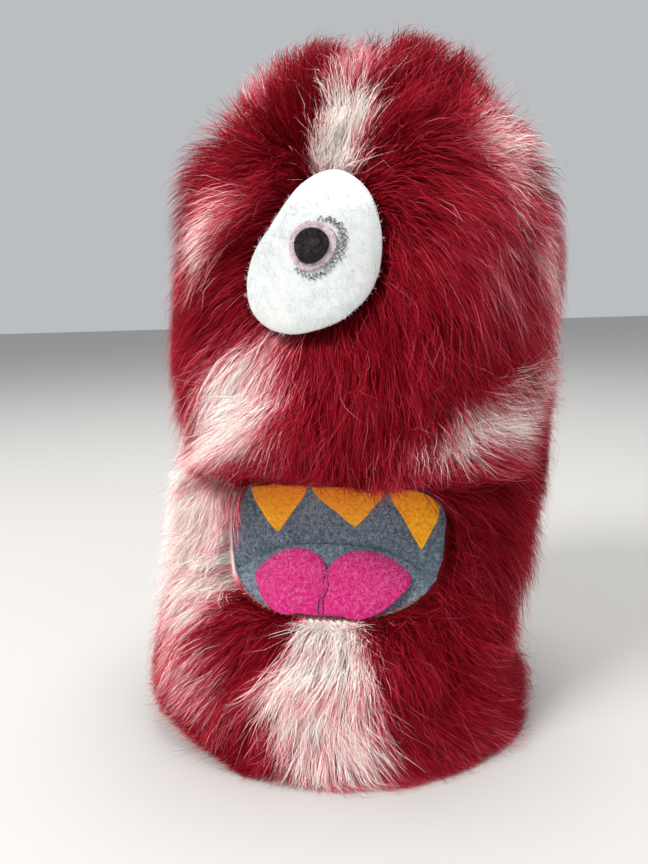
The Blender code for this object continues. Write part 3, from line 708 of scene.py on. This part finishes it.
def felt_finish(name, dark, middle, pale, mottle=900, fibre=2600, depth=0.5):
    """Wool felt: clouded colour, short fibres in a paler shade, and a matt, fuzzy face."""
    made, tree, shader, add = new_material(name, 0.95, 0.12)
    shader.inputs["Specular IOR Level"].default_value = 0.15
    spot = add("TexCoord")
    clouds = add("TexNoise", Scale=mottle, Detail=3, Roughness=0.65)
    wool = add("TexNoise", Scale=fibre, Detail=4, Roughness=0.7, Distortion=1.2)
    mixed = add("Math", operation="MULTIPLY_ADD")
    mixed.inputs[1].default_value = 0.55
    ramp = add("ValToRGB")
    ramp_stops(ramp, ((0.40, dark), (0.51, middle), (0.64, pale)))
    bump = add("Bump", Strength=depth, Distance=0.0003)
    half = add("Math", operation="MULTIPLY")
    half.inputs[1].default_value = 0.45
    wire(
        tree, (spot, "Object", clouds, "Vector"), (spot, "Object", wool, "Vector"),
        (wool, "Fac", mixed, 0), (clouds, "Fac", half, 0), (half, "Value", mixed, 2),
        (mixed, "Value", ramp, "Fac"), (ramp, "Color", shader, "Base Color"),
        (mixed, "Value", bump, "Height"), (bump, "Normal", shader, "Normal"),
    )
    return made


def felt_fuzz(name, spots, place, off, material, seed, length=2.2 * MM, width=0.055 * MM):
    """Loose wool fibres that stand up a little at the given spots of the felt place(a, b, off)."""
    draw = np.random.default_rng(seed)
    places = np.array([lean_point(place(a, b, off)) for a, b in spots])
    facings = np.array([(place(a, b, MM) - place(a, b, 0)).normalized() for a, b in spots])
    number = len(places)
    lying = draw.standard_normal((number, 3))
    lying -= (lying * facings).sum(1)[:, None] * facings
    lying /= np.linalg.norm(lying, axis=1)[:, None]
    long = length * draw.uniform(0.5, 1.3, number)[:, None]
    fibres = np.empty((number, 4, 3))
    for joint, (rise, along) in enumerate(((0, 0), (0.3, 0.3), (0.42, 0.7), (0.3, 1.05))):
        fibres[:, joint] = places + facings * rise * long + lying * along * long
        fibres[:, joint] += 0.08 * long * draw.standard_normal((number, 3)) * (joint > 0)
    flat = np.cross(np.gradient(fibres, axis=1), facings[:, None, :])
    flat /= np.linalg.norm(flat, axis=2, keepdims=True) + 1e-12
    flat *= width / 2 * np.array((1, 1, 0.8, 0))[None, :, None]
    tones = np.full(number, 0.5)
    made = piece(name, fibre_mesh(name, fibres, flat, tones, tones), material)
    made.data.uv_layers.remove(made.data.uv_layers["OFBake"])
    return made


BLUE_DARK, BLUE, BLUE_PALE = (0.045, 0.065, 0.092), (0.125, 0.17, 0.215), (0.27, 0.33, 0.38)
mouth_finish = felt_finish("grey_blue_wool_felt", BLUE_DARK, BLUE, BLUE_PALE, fibre=2000, depth=1)
pale_wool = felt_finish("loose_pale_wool", (0.35, 0.40, 0.46), (0.52, 0.57, 0.62), (0.75, 0.76, 0.78))


def mouth_half(upper):
    start, sweep = (math.pi + CORNER_DROP, -math.pi - 2 * CORNER_DROP) if upper else (
        -math.pi + CORNER_DROP, math.pi - 2 * CORNER_DROP
    )

    def place(u, v):
        lip = outline_point(start + sweep * u)
        fold = fold_point(max(-FOLD_HALF, min(FOLD_HALF, lip.x * 1.01)))
        if not upper:
            fold.y -= 0.7 * MM
        point = fold.lerp(lip, v)
        wave = math.sin(math.pi * v)
        point.y += BOWL_DEPTH * wave * (1 - (lip.x / FOLD_HALF) ** 2) if abs(lip.x) < FOLD_HALF else 0
        point.z += 0.7 * MM * wave * noise.noise(Vector((u * 5, v * 2, 3.0 if upper else 8.0)))
        if not upper:
            point.z += 1.3 * MM * math.sin(math.pi * min(1, v / 0.35)) * (v < 0.35)
        return point

    return place


felt_upper = felt_piece("mouth_lining_upper", 72, 20, mouth_half(True), FELT_THICK, mouth_finish)
felt_lower = felt_piece("mouth_lining_lower", 72, 20, mouth_half(False), FELT_THICK, mouth_finish)
fitted(felt_upper, "head", "mouth_felt", "mouth_felt_upper")
fitted(felt_lower, "jaw", "mouth_felt", "mouth_felt_lower")

MOUTH_FUZZ, TONGUE_FUZZ = 1500, 1100
draw = np.random.default_rng(51)
for name, upper, body in (("mouth_fuzz_upper", True, "head"), ("mouth_fuzz_lower", False, "jaw")):
    spots = [
        (draw.uniform(-0.84, 0.84) * FOLD_HALF, draw.uniform(0.12, 0.97)) for _ in range(MOUTH_FUZZ)
    ]

    def wall(x, out, off, upper=upper):
        return mouth_wall(upper, x, out, off)

    fitted(felt_fuzz(name, spots, wall, FELT_THICK / 2, pale_wool, 52), body, "mouth_felt")

# ----------------------------------------
# Teeth. Three pointed pieces of orange-yellow felt, their wide ends caught in the upper lip's
# seam, so they hang free in front of the mouth and bend a little forwards.
TOOTH_THICK = 1.2 * MM
TOOTH_OFF = 2.4 * MM
# For each tooth: root and tip across the mouth, half its width at the root, and how far down
# its tip hangs, from the lip at 1 to the fold at 0.
TEETH = {
    "left": (-14.2, -16.6, 9.2, 0.37), "middle": (6.2, 7.0, 10.2, 0.42),
    "right": (23.6, 26.4, 6.9, 0.36),
}
tooth_finish = felt_finish(
    "orange_yellow_felt", (0.66, 0.21, 0.006), (0.90, 0.38, 0.012), (0.96, 0.52, 0.04), depth=0.6,
)
# The felt is a redder orange at the wide ends, and darker there with painted shade under the lip and its
# fringe of fur.
tree = tooth_finish.node_tree
shader = tree.nodes["Principled BSDF"]
felt_colour = shader.inputs["Base Color"].links[0].from_node
spot, height = tree.nodes.new("ShaderNodeTexCoord"), tree.nodes.new("ShaderNodeSeparateXYZ")
root_tint_and_painted_shade, mix = tree.nodes.new("ShaderNodeMapRange"), tree.nodes.new("ShaderNodeMixRGB")
root_tint_and_painted_shade.inputs["From Min"].default_value = 70 * MM
root_tint_and_painted_shade.inputs["From Max"].default_value = 85 * MM
root_tint_and_painted_shade.inputs["To Max"].default_value = 0.95
mix.blend_type = "MULTIPLY"
# The redder tint, darkened as painted shade.
mix.inputs["Color2"].default_value = (0.72, 0.32, 0.25, 1)
wire(
    tree, (spot, "Object", height, 0), (height, "Z", root_tint_and_painted_shade, "Value"), (root_tint_and_painted_shade, "Result", mix, "Fac"),
    (felt_colour, "Color", mix, "Color1"), (mix, "Color", shader, "Base Color"),
)
teeth = {}
for number, (word, (root_x, tip_x, half, tip_out)) in enumerate(TEETH.items()):

    def tooth(u, v, root_x=root_x, tip_x=tip_x, half=half, tip_out=tip_out, number=number):
        width = half * (1 - v) ** 1.12 + 1.2 * math.sqrt(max(0, 1 - v)) * min(1, v * 4)
        x = (root_x + (tip_x - root_x) * v + (2 * u - 1) * width) * MM
        curl = 1.3 * MM * math.sin(math.pi * v * 0.8) + 0.5 * MM * noise.noise(
            Vector((x / (6 * MM), v * 2, 20 + number))
        )
        return mouth_wall(True, x, 1.02 + (tip_out - 1.02) * v, TOOTH_OFF + curl)

    teeth[word] = felt_piece("felt_tooth_" + word, 16, 22, tooth, TOOTH_THICK, tooth_finish, 0.6)
    fitted(teeth[word], "head", "tooth_felt", "tooth_" + word)

# ----------------------------------------
# Tongue. One piece of bright pink felt with two round lobes, sewn down the middle with a double
# line of black thread, so that it puffs up on each side.
LOBES = ((-12.2, 11.0), (11.4, 12.4))
TONGUE_MIDDLE, TONGUE_RISE, TONGUE_FOOT = 9.8, 8.8, -0.6
LOWER_LENGTH = 20.9
TONGUE_PUFF = 1.9 * MM
tongue_finish = felt_finish(
    "bright_pink_felt", (0.36, 0.005, 0.10), (0.50, 0.016, 0.155), (0.62, 0.07, 0.25), depth=0.35,
)


def lobe_rise(x):
    """How far the round lobes reach at x, 1 at the middle of either and 0 beside them."""
    return max(math.sqrt(max(0, 1 - ((x - middle) / half) ** 2)) for middle, half in LOBES)


def tongue_place(x, up, off=0.0):
    """A place on the tongue: x across and up from the lip, both in millimetres."""
    rise = lobe_rise(x)
    puff = TONGUE_PUFF * math.sqrt(rise) * min(1, max(0, (up + 1) / 5))
    puff *= min(1, max(0, (TONGUE_MIDDLE + TONGUE_RISE * rise + 0.5 - up) / 4)) ** 0.5
    return mouth_wall(False, x * MM, 1 - up / LOWER_LENGTH, 1.6 * MM + puff + off)


def tongue(u, v):
    spread = 0.5 - 0.5 * math.cos(math.pi * (0.02 + 0.96 * u))
    x = LOBES[0][0] - LOBES[0][1] + spread * (sum(LOBES[1]) - LOBES[0][0] + LOBES[0][1])
    rise = lobe_rise(x)
    joined = 0.9 if abs(x + 0.5) < 8 else 0
    low = TONGUE_MIDDLE - (TONGUE_MIDDLE - TONGUE_FOOT) * max(rise, joined)
    return tongue_place(x, low + (TONGUE_MIDDLE + TONGUE_RISE * rise - low) * v)


tongue_felt = felt_piece("felt_tongue", 80, 16, tongue, 1.1 * MM, tongue_finish, 0.8)
fitted(tongue_felt, "jaw", "tongue_felt", "tongue")
spots = []
while len(spots) < TONGUE_FUZZ:
    x, up = draw.uniform(-23, 23), draw.uniform(0.5, 18)
    if TONGUE_MIDDLE * (1 - lobe_rise(x)) < up < TONGUE_MIDDLE + TONGUE_RISE * lobe_rise(x):
        spots.append((x, up))
pink_wool = felt_finish("loose_pink_wool", (0.62, 0.06, 0.24), (0.76, 0.18, 0.36), (0.88, 0.40, 0.52))
tongue_fuzz = felt_fuzz("tongue_fuzz", spots, tongue_place, 0.5 * MM, pink_wool, 53)
fitted(tongue_fuzz, "jaw", "tongue_felt")


def thread(name, lines, radius, material, body, slot, old=(), order=3):
    """Sewing thread along one or more lines of points, as one round curve made a mesh."""
    curve = bpy.data.curves.new(name, "CURVE")
    curve.dimensions = "3D"
    curve.bevel_depth, curve.bevel_resolution, curve.use_fill_caps = radius, 2, True
    for points in lines:
        line = curve.splines.new("NURBS" if order > 2 else "POLY")
        line.points.add(len(points) - 1)
        for corner, point in zip(line.points, points):
            corner.co = (*lean_point(point), 1)
        line.use_endpoint_u = True
        line.order_u = order
        line.resolution_u = 3
    made = bpy.data.objects.new(name, curve)
    bpy.context.collection.objects.link(made)
    mesh = bpy.data.meshes.new_from_object(made)
    bpy.data.objects.remove(made)
    made = piece(name, mesh, material)
    made.data.shade_smooth()
    return fitted(made, body, slot, *old)


def thread_finish(name, dark, pale):
    made, tree, shader, add = new_material(name, 0.6)
    spot = add("TexCoord")
    twist = add("TexWave", Scale=900, Distortion=3.0, Detail=1)
    ramp = add("ValToRGB")
    ramp_stops(ramp, ((0.2, dark), (0.8, pale)))
    wire(
        tree, (spot, "Object", twist, "Vector"), (twist, "Fac", ramp, "Fac"),
        (ramp, "Color", shader, "Base Color"),
    )
    return made


black_thread = thread_finish("black_sewing_thread", (0.006, 0.005, 0.006), (0.045, 0.035, 0.04))
red_thread = thread_finish("dark_red_sewing_thread", (0.20, 0.01, 0.01), (0.62, 0.12, 0.04))
stitches = []
for swing in (-1, 1):
    stitches.append([
        tongue_place(-0.6 + swing * (0.55 + 0.45 * math.sin(step * 0.9 + swing)), 0.5 + step * 0.85,
                     0.75 * MM)
        for step in range(14)
    ])
thread("tongue_thread", stitches, 0.17 * MM, black_thread, "jaw", "thread", ("tongue_stitch",))

# Overcast stitches over the felt's edge, all round the opening.
for name, upper, body in (("lip_thread_upper", True, "head"), ("lip_thread_lower", False, "jaw")):
    line = []
    for step in range(84):
        x = (-0.9 + 1.8 * step / 83) * FOLD_HALF
        out, off = ((0.94, 1.0), (1.0, 1.4), (1.045, 0.7))[step % 3]
        line.append(mouth_wall(upper, x, out, off * MM))
    old = "lip_seam_upper" if upper else "lip_seam_lower"
    thread(name, [line], 0.16 * MM, red_thread, body, "seam_thread", (old,))

# ----------------------------------------
# Eye. An egg of thick white felt sewn on the face, tilted, with a grey-pink ring and a black
# pupil of felt on it. Black machine stitches wander in a zigzag round the ring.
EYE_THICK = 1.5 * MM
PUPIL_AT, PUPIL_UP = math.radians(-4.7), 147.5 * MM
PUPIL_RADIUS, IRIS_RADIUS, STITCH_RING = 4.5 * MM, 6.3 * MM, 7.0 * MM


def on_face(turn, height, off=0.0):
    """A point in front of the face: the tube of the eye, which bends back over the brow."""
    radius = EYE_RADIUS - max(0, height - 150 * MM) ** 2 / (60 * MM) + off
    return Vector((radius * math.sin(turn), -radius * math.cos(turn), height))


def eye_egg(turn, share, off=0.0):
    uneven = noise.noise(Vector((3 * math.cos(turn), 3 * math.sin(turn), 5)))
    reach = eye_reach(turn) * share * (1 + 0.012 * uneven)
    across, up = reach * math.cos(turn), reach * math.sin(turn)
    dent = -0.8 * MM * max(0, share - 0.86) / 0.14
    return on_face(EYE_AT + across / EYE_RADIUS, EYE_UP + up, off + dent)


def eye_disc(inner, outer, off):
    def place(u, v):
        turn = 2 * math.pi * u
        reach = (inner + (outer - inner) * v) * (1 + 0.03 * math.sin(3 * turn + 1))
        return on_face(
            PUPIL_AT + reach * math.cos(turn) / EYE_RADIUS, PUPIL_UP + reach * math.sin(turn), off
        )

    return place


white_finish = felt_finish(
    "white_felt", (0.56, 0.62, 0.64), (0.67, 0.69, 0.685), (0.74, 0.73, 0.70), mottle=300, depth=0.7,
)
iris_finish = felt_finish(
    "grey_pink_felt", (0.30, 0.23, 0.25), (0.54, 0.42, 0.45), (0.80, 0.70, 0.72), mottle=500, depth=1,
)
pupil_finish = felt_finish(
    "black_felt", (0.004, 0.004, 0.005), (0.014, 0.012, 0.014), (0.06, 0.05, 0.055), depth=0.5,
)
eye_pieces = (
    ("felt_eye", 72, 18, lambda u, v: eye_egg(2 * math.pi * u, v), EYE_THICK, white_finish,
     "white_felt", "eye_white"),
    ("felt_iris", 48, 4, eye_disc(PUPIL_RADIUS * 0.9, IRIS_RADIUS, 1.1 * MM), 0.7 * MM, iris_finish,
     "iris_felt", "eye_iris"),
    ("felt_pupil", 40, 8, eye_disc(0, PUPIL_RADIUS, 1.7 * MM), 1.1 * MM, pupil_finish,
     "black_felt", "eye_pupil"),
)
for name, columns, rows, place, thick, finish, slot, old in eye_pieces:
    made = felt_piece(name, columns, rows, place, thick, finish, 0.7)
    fitted(made, "head", slot, old)

fuzzy = (
    ("eye_fuzz", 2600, eye_egg, EYE_THICK / 2,
     white_finish, "white_felt"),
    ("pupil_fuzz", 420, lambda turn, share, off: eye_disc(0, PUPIL_RADIUS, off + 1.7 * MM)(
        turn / (2 * math.pi), share), 0.55 * MM, pupil_finish, "black_felt"),
)
for name, number, place, off, finish, slot in fuzzy:
    spots = [(draw.uniform(0, 2 * math.pi), draw.uniform(0, 1) ** 0.35) for _ in range(number)]
    fitted(felt_fuzz(name, spots, place, off, finish, 54, 1.1 * MM, 0.06 * MM), "head", slot)

# The zigzag runs twice round the ring's right and lower side, crossing itself, and stops loosely.
rounds = []
for first, last, stitches_in_it, out in ((-128, 78, 46, 0.2), (-95, 62, 32, 0.9), (-30, 40, 12, 1.6)):
    line = []
    for step in range(stitches_in_it):
        turn = math.radians(first + (last - first) * step / (stitches_in_it - 1) + draw.uniform(-2, 2))
        swing = draw.uniform(0.25, 0.8) * (-1) ** step
        reach = STITCH_RING + (swing + out + 0.4 * math.sin(3 * turn)) * MM
        line.append(on_face(
            PUPIL_AT + reach * math.cos(turn) / EYE_RADIUS, PUPIL_UP + reach * math.sin(turn),
            (0.98 + 0.1 * out) * MM,
        ))
    rounds.append(line)
thread("eye_zigzag", rounds, 0.12 * MM, black_thread, "head", "thread", ("eye_ring_stitch",), 2)
edge_line = []
for step in range(70):
    turn = math.radians(28 + 92 * step / 69)
    edge_line.append(eye_egg(turn, 1.01 if step % 2 else 0.985, (0.5 if step % 2 else 0.9) * MM))
thread("eye_edge_thread", [edge_line], 0.09 * MM, black_thread, "head", "thread",
       ("eye_edge_stitch",), 2)

# ----------------------------------------
# Inside and hem. A woven cotton glove lining hangs inside the fur from crown to hem, with loose
# polyester fill above it. The hem is the cloth turned in and stitched. Boards stiffen the mouth,
# straps hold the fingers and thumb, and a strip of felt joins the halves of the mouth.
LINING_OFF = 4.2 * MM
HEM_BAND = 13 * MM


def woven_finish(name, dark, pale, threads=2600, roughness=0.85):
    """Plain weave: threads over and under in both directions, a little uneven."""
    made, tree, shader, add = new_material(name, roughness, 0.1)
    spot = add("TexCoord")
    weft = add("TexWave", bands_direction="Z", Scale=threads * 0.3, Distortion=1.0)
    warp = add("TexNoise", Scale=threads, Detail=2)
    both = add("Math", operation="MULTIPLY")
    ramp = add("ValToRGB")
    ramp_stops(ramp, ((0.12, dark), (0.45, pale)))
    bump = add("Bump", Strength=0.4, Distance=0.0002)
    wire(
        tree, (spot, "Object", weft, "Vector"), (spot, "Object", warp, "Vector"),
        (weft, "Fac", both, 0), (warp, "Fac", both, 1), (both, "Value", ramp, "Fac"),
        (both, "Value", bump, "Height"), (ramp, "Color", shader, "Base Color"),
        (bump, "Normal", shader, "Normal"),
    )
    return made


lining_finish = woven_finish("cotton_lining", (0.10, 0.012, 0.018), (0.30, 0.03, 0.045))
strap_finish = woven_finish("cotton_tape", (0.02, 0.02, 0.022), (0.09, 0.085, 0.09), 3200)
board_finish = woven_finish("grey_board", (0.26, 0.24, 0.21), (0.46, 0.43, 0.38), 900, 0.9)


def lining_part(name, wanted, top):
    """The part of the lining below top whose faces pass wanted(azimuth, height)."""
    rings = [(r - LINING_OFF, z) for r, z in zip(profile_r[::2], profile_z[::2] - 0.6 * MM)]
    shape = spun([(r, z) for r, z in rings if r > 6 * MM and z < top], 72)
    bmesh.ops.holes_fill(shape, edges=[e for e in shape.edges if len(e.link_faces) == 1
                                       and e.verts[0].co.z > 150 * MM])
    keep_faces(shape, wanted)
    for corner in shape.verts:
        corner.co += 0.5 * MM * noise.noise_vector(corner.co / (14 * MM))
    bmesh.ops.recalc_face_normals(shape, faces=shape.faces)
    mesh = meshed(name, shape)
    places = hem_raised(np.array([corner.co for corner in mesh.vertices]))
    mesh.vertices.foreach_set("co", leaned(places).ravel())
    made = piece(name, mesh, lining_finish)
    wall = made.modifiers.new("thickness", "SOLIDIFY")
    wall.thickness, wall.offset = 0.5 * MM, 0
    return made


lining = lining_part(
    "glove_lining",
    lambda turn, high: mouth_share(turn, high) > 1.08 and (
        abs(turn) > CHIN_TURN * 1.05 or high > MOUTH_MIDDLE),
    300 * MM,
)
chin_lining = lining_part(
    "chin_lining",
    lambda turn, high: mouth_share(turn, high) > 1.08 and abs(turn) <= CHIN_TURN * 0.95,
    MOUTH_MIDDLE,
)
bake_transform(lining)
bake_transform(chin_lining)
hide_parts("head_lining", "sleeve_lining")

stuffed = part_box("crown_stuffing")
low_corner, high_corner = Vector(stuffed[0]), Vector(stuffed[1])
middle, half = (low_corner + high_corner) / 2, (high_corner - low_corner) / 2
plug = bmesh.new()
bmesh.ops.create_icosphere(plug, subdivisions=5, radius=1)
for corner in plug.verts:
    way = corner.co.copy()
    lump = 0.90 + 0.07 * noise.fractal(way * 3, 0.8, 2, 4) + 0.015 * noise.noise(way * 14)
    corner.co = middle + Vector(way[k] * half[k] * min(lump, 0.97) for k in range(3))
fill_finish = felt_finish("polyester_fill", (0.62, 0.60, 0.56), (0.78, 0.77, 0.74), (0.88, 0.88, 0.86))
crown_fill = piece("crown_fill", meshed("crown_fill", plug), fill_finish)
fitted(crown_fill, "head", "stuffing", "crown_stuffing")

band_ring = [(CLOTH_RADIUS - 1.4 * MM, HEM_BAND), (CLOTH_RADIUS - 1.6 * MM, 2 * MM),
             (CLOTH_RADIUS - 2.6 * MM, 1.2 * MM), (CLOTH_RADIUS - 3.4 * MM, 2 * MM),
             (CLOTH_RADIUS - 3.5 * MM, HEM_BAND)]
band = spun(band_ring, 96, 0.02 * MM, closed=True)
bmesh.ops.recalc_face_normals(band, faces=band.faces)
band_mesh = meshed("hem_turned_in", band)
places = hem_raised(np.array([corner.co for corner in band_mesh.vertices]))
band_mesh.vertices.foreach_set("co", leaned(places).ravel())
backing_finish = woven_finish("knitted_backing", (0.20, 0.01, 0.015), (0.42, 0.05, 0.06), 2000)
hem = piece("hem_turned_in", band_mesh, backing_finish)
fitted(hem, "sleeve", "backing", "hem_band")
hem_line = []
for step in range(161):
    turn = 2 * math.pi * step / 160
    inside = CLOTH_RADIUS - (3.55 if step % 2 else 3.75) * MM
    place = np.array((inside * math.sin(turn), -inside * math.cos(turn), 9 * MM))
    hem_line.append(Vector(hem_raised(place)))
thread("hem_thread", [hem_line], 0.15 * MM, red_thread, "sleeve", "seam_thread", ("hem_stitch",))

fold_line = [FOLD + Vector((x * MM, 1.5 * MM, -0.2 * MM)) for x in np.linspace(-12, 12, 12)]
thread("mouth_fold_felt", [fold_line], 0.5 * MM, mouth_finish, "sleeve", "mouth_felt", ("mouth_fold",))

for node, finish in (
    ("mouth_board_upper", board_finish), ("mouth_board_lower", board_finish),
    ("finger_strap", strap_finish), ("thumb_strap", strap_finish),
    ("sleeve_seam_left", red_thread), ("sleeve_seam_right", red_thread),
    ("head_side_seam", red_thread),
):
    for place in bpy.data.objects[node].material_slots:
        place.material = finish

# The sheets: the rectangle each was cut from in metres, how it is held and what it lies on. The
# backing cloth has two faces in its mesh, so half its area is the cloth's.
eye_felts = [bpy.data.objects[name] for name in ("felt_eye", "felt_iris", "felt_pupil")]
for made, width, length, held, under in (
    (body_cloth, 0.292, 0.25, "draped", lining), (chin_cloth, 0.074, 0.048, "draped", chin_lining),
    (lining, 0.266, 0.24, "hung", body_cloth), (chin_lining, 0.066, 0.046, "hung", chin_cloth),
    (felt_upper, 0.076, 0.031, "stretched", "mouth_board_upper"),
    (felt_lower, 0.076, 0.029, "stretched", "mouth_board_lower"),
    (teeth["left"], 0.0205, 0.0175, "hung", felt_upper),
    (teeth["middle"], 0.0225, 0.0165, "hung", felt_upper),
    (teeth["right"], 0.0165, 0.019, "hung", felt_upper), (tongue_felt, 0.05, 0.022, "laid", felt_lower),
    (eye_felts[0], 0.044, 0.046, "stretched", body_cloth),
    (eye_felts[1], 0.013, 0.013, "laid", "felt_eye"), (eye_felts[2], 0.01, 0.01, "laid", "felt_iris"),
):
    sides = 2 if made in (body_cloth, chin_cloth) else 1

# ----------------------------------------
# Floor, light and camera.
ground = bmesh.new()
bmesh.ops.create_grid(ground, x_segments=1, y_segments=1, size=6)
floor_finish, tree, shader, add = new_material("plain_floor", 0.8)
shader.inputs["Base Color"].default_value = (0.52, 0.51, 0.50, 1)
piece("floor", meshed("floor", ground), floor_finish)

sky = bpy.data.worlds.new("studio")
sky.use_nodes = True
daylight = sky.node_tree.nodes["Background"]
daylight.inputs["Color"].default_value = (0.80, 0.83, 0.86, 1)
daylight.inputs["Strength"].default_value = 0.62
bpy.context.scene.world = sky
bpy.context.scene.view_settings.view_transform = "Standard"


def soft_light(name, place, size, power, colour):
    lamp = bpy.data.lights.new(name, "AREA")
    lamp.shape, lamp.size, lamp.energy, lamp.color = "DISK", size, power, colour
    made = bpy.data.objects.new(name, lamp)
    made.location = place
    aim = Vector((0, 0, 0.1)) - Vector(place)
    made.rotation_euler = aim.to_track_quat("-Z", "Y").to_euler()
    bpy.context.collection.objects.link(made)


soft_light("key", (-0.55, -0.75, 1.0), 0.5, 18, (1, 0.98, 0.95))
soft_light("overhead", (0.1, 0.1, 1.3), 0.7, 11, (1, 0.97, 0.93))
soft_light("fill", (0.9, -0.8, 0.5), 0.8, 2.2, (0.95, 0.97, 1))

CAMERA_AWAY, CAMERA_HEIGHT = 250 * MM, 131.4 * MM
CAMERA_AZIMUTH, CAMERA_SWING = math.radians(11.5), math.radians(2.05)
CAMERA_DOWN, CAMERA_ROLL = math.radians(9.264), math.radians(-1.924)
FILM_WIDTH, FOCAL_LENGTH = 36, 31.36
lens = bpy.data.cameras.new("camera")
lens.sensor_width, lens.lens, lens.clip_start = FILM_WIDTH, FOCAL_LENGTH, 0.01
camera = bpy.data.objects.new("camera", lens)
heading = CAMERA_AZIMUTH + CAMERA_SWING
forward = Vector((
    -math.sin(heading) * math.cos(CAMERA_DOWN), math.cos(heading) * math.cos(CAMERA_DOWN),
    -math.sin(CAMERA_DOWN),
))
level = Vector((math.cos(heading), math.sin(heading), 0))
above = level.cross(forward)
right = math.cos(CAMERA_ROLL) * level + math.sin(CAMERA_ROLL) * above
above = math.cos(CAMERA_ROLL) * above - math.sin(CAMERA_ROLL) * level
camera.matrix_world = Matrix.Translation((
    CAMERA_AWAY * math.sin(CAMERA_AZIMUTH), -CAMERA_AWAY * math.cos(CAMERA_AZIMUTH), CAMERA_HEIGHT,
)) @ Matrix((right, above, -forward)).transposed().to_4x4()
bpy.context.collection.objects.link(camera)
bpy.context.scene.camera = camera
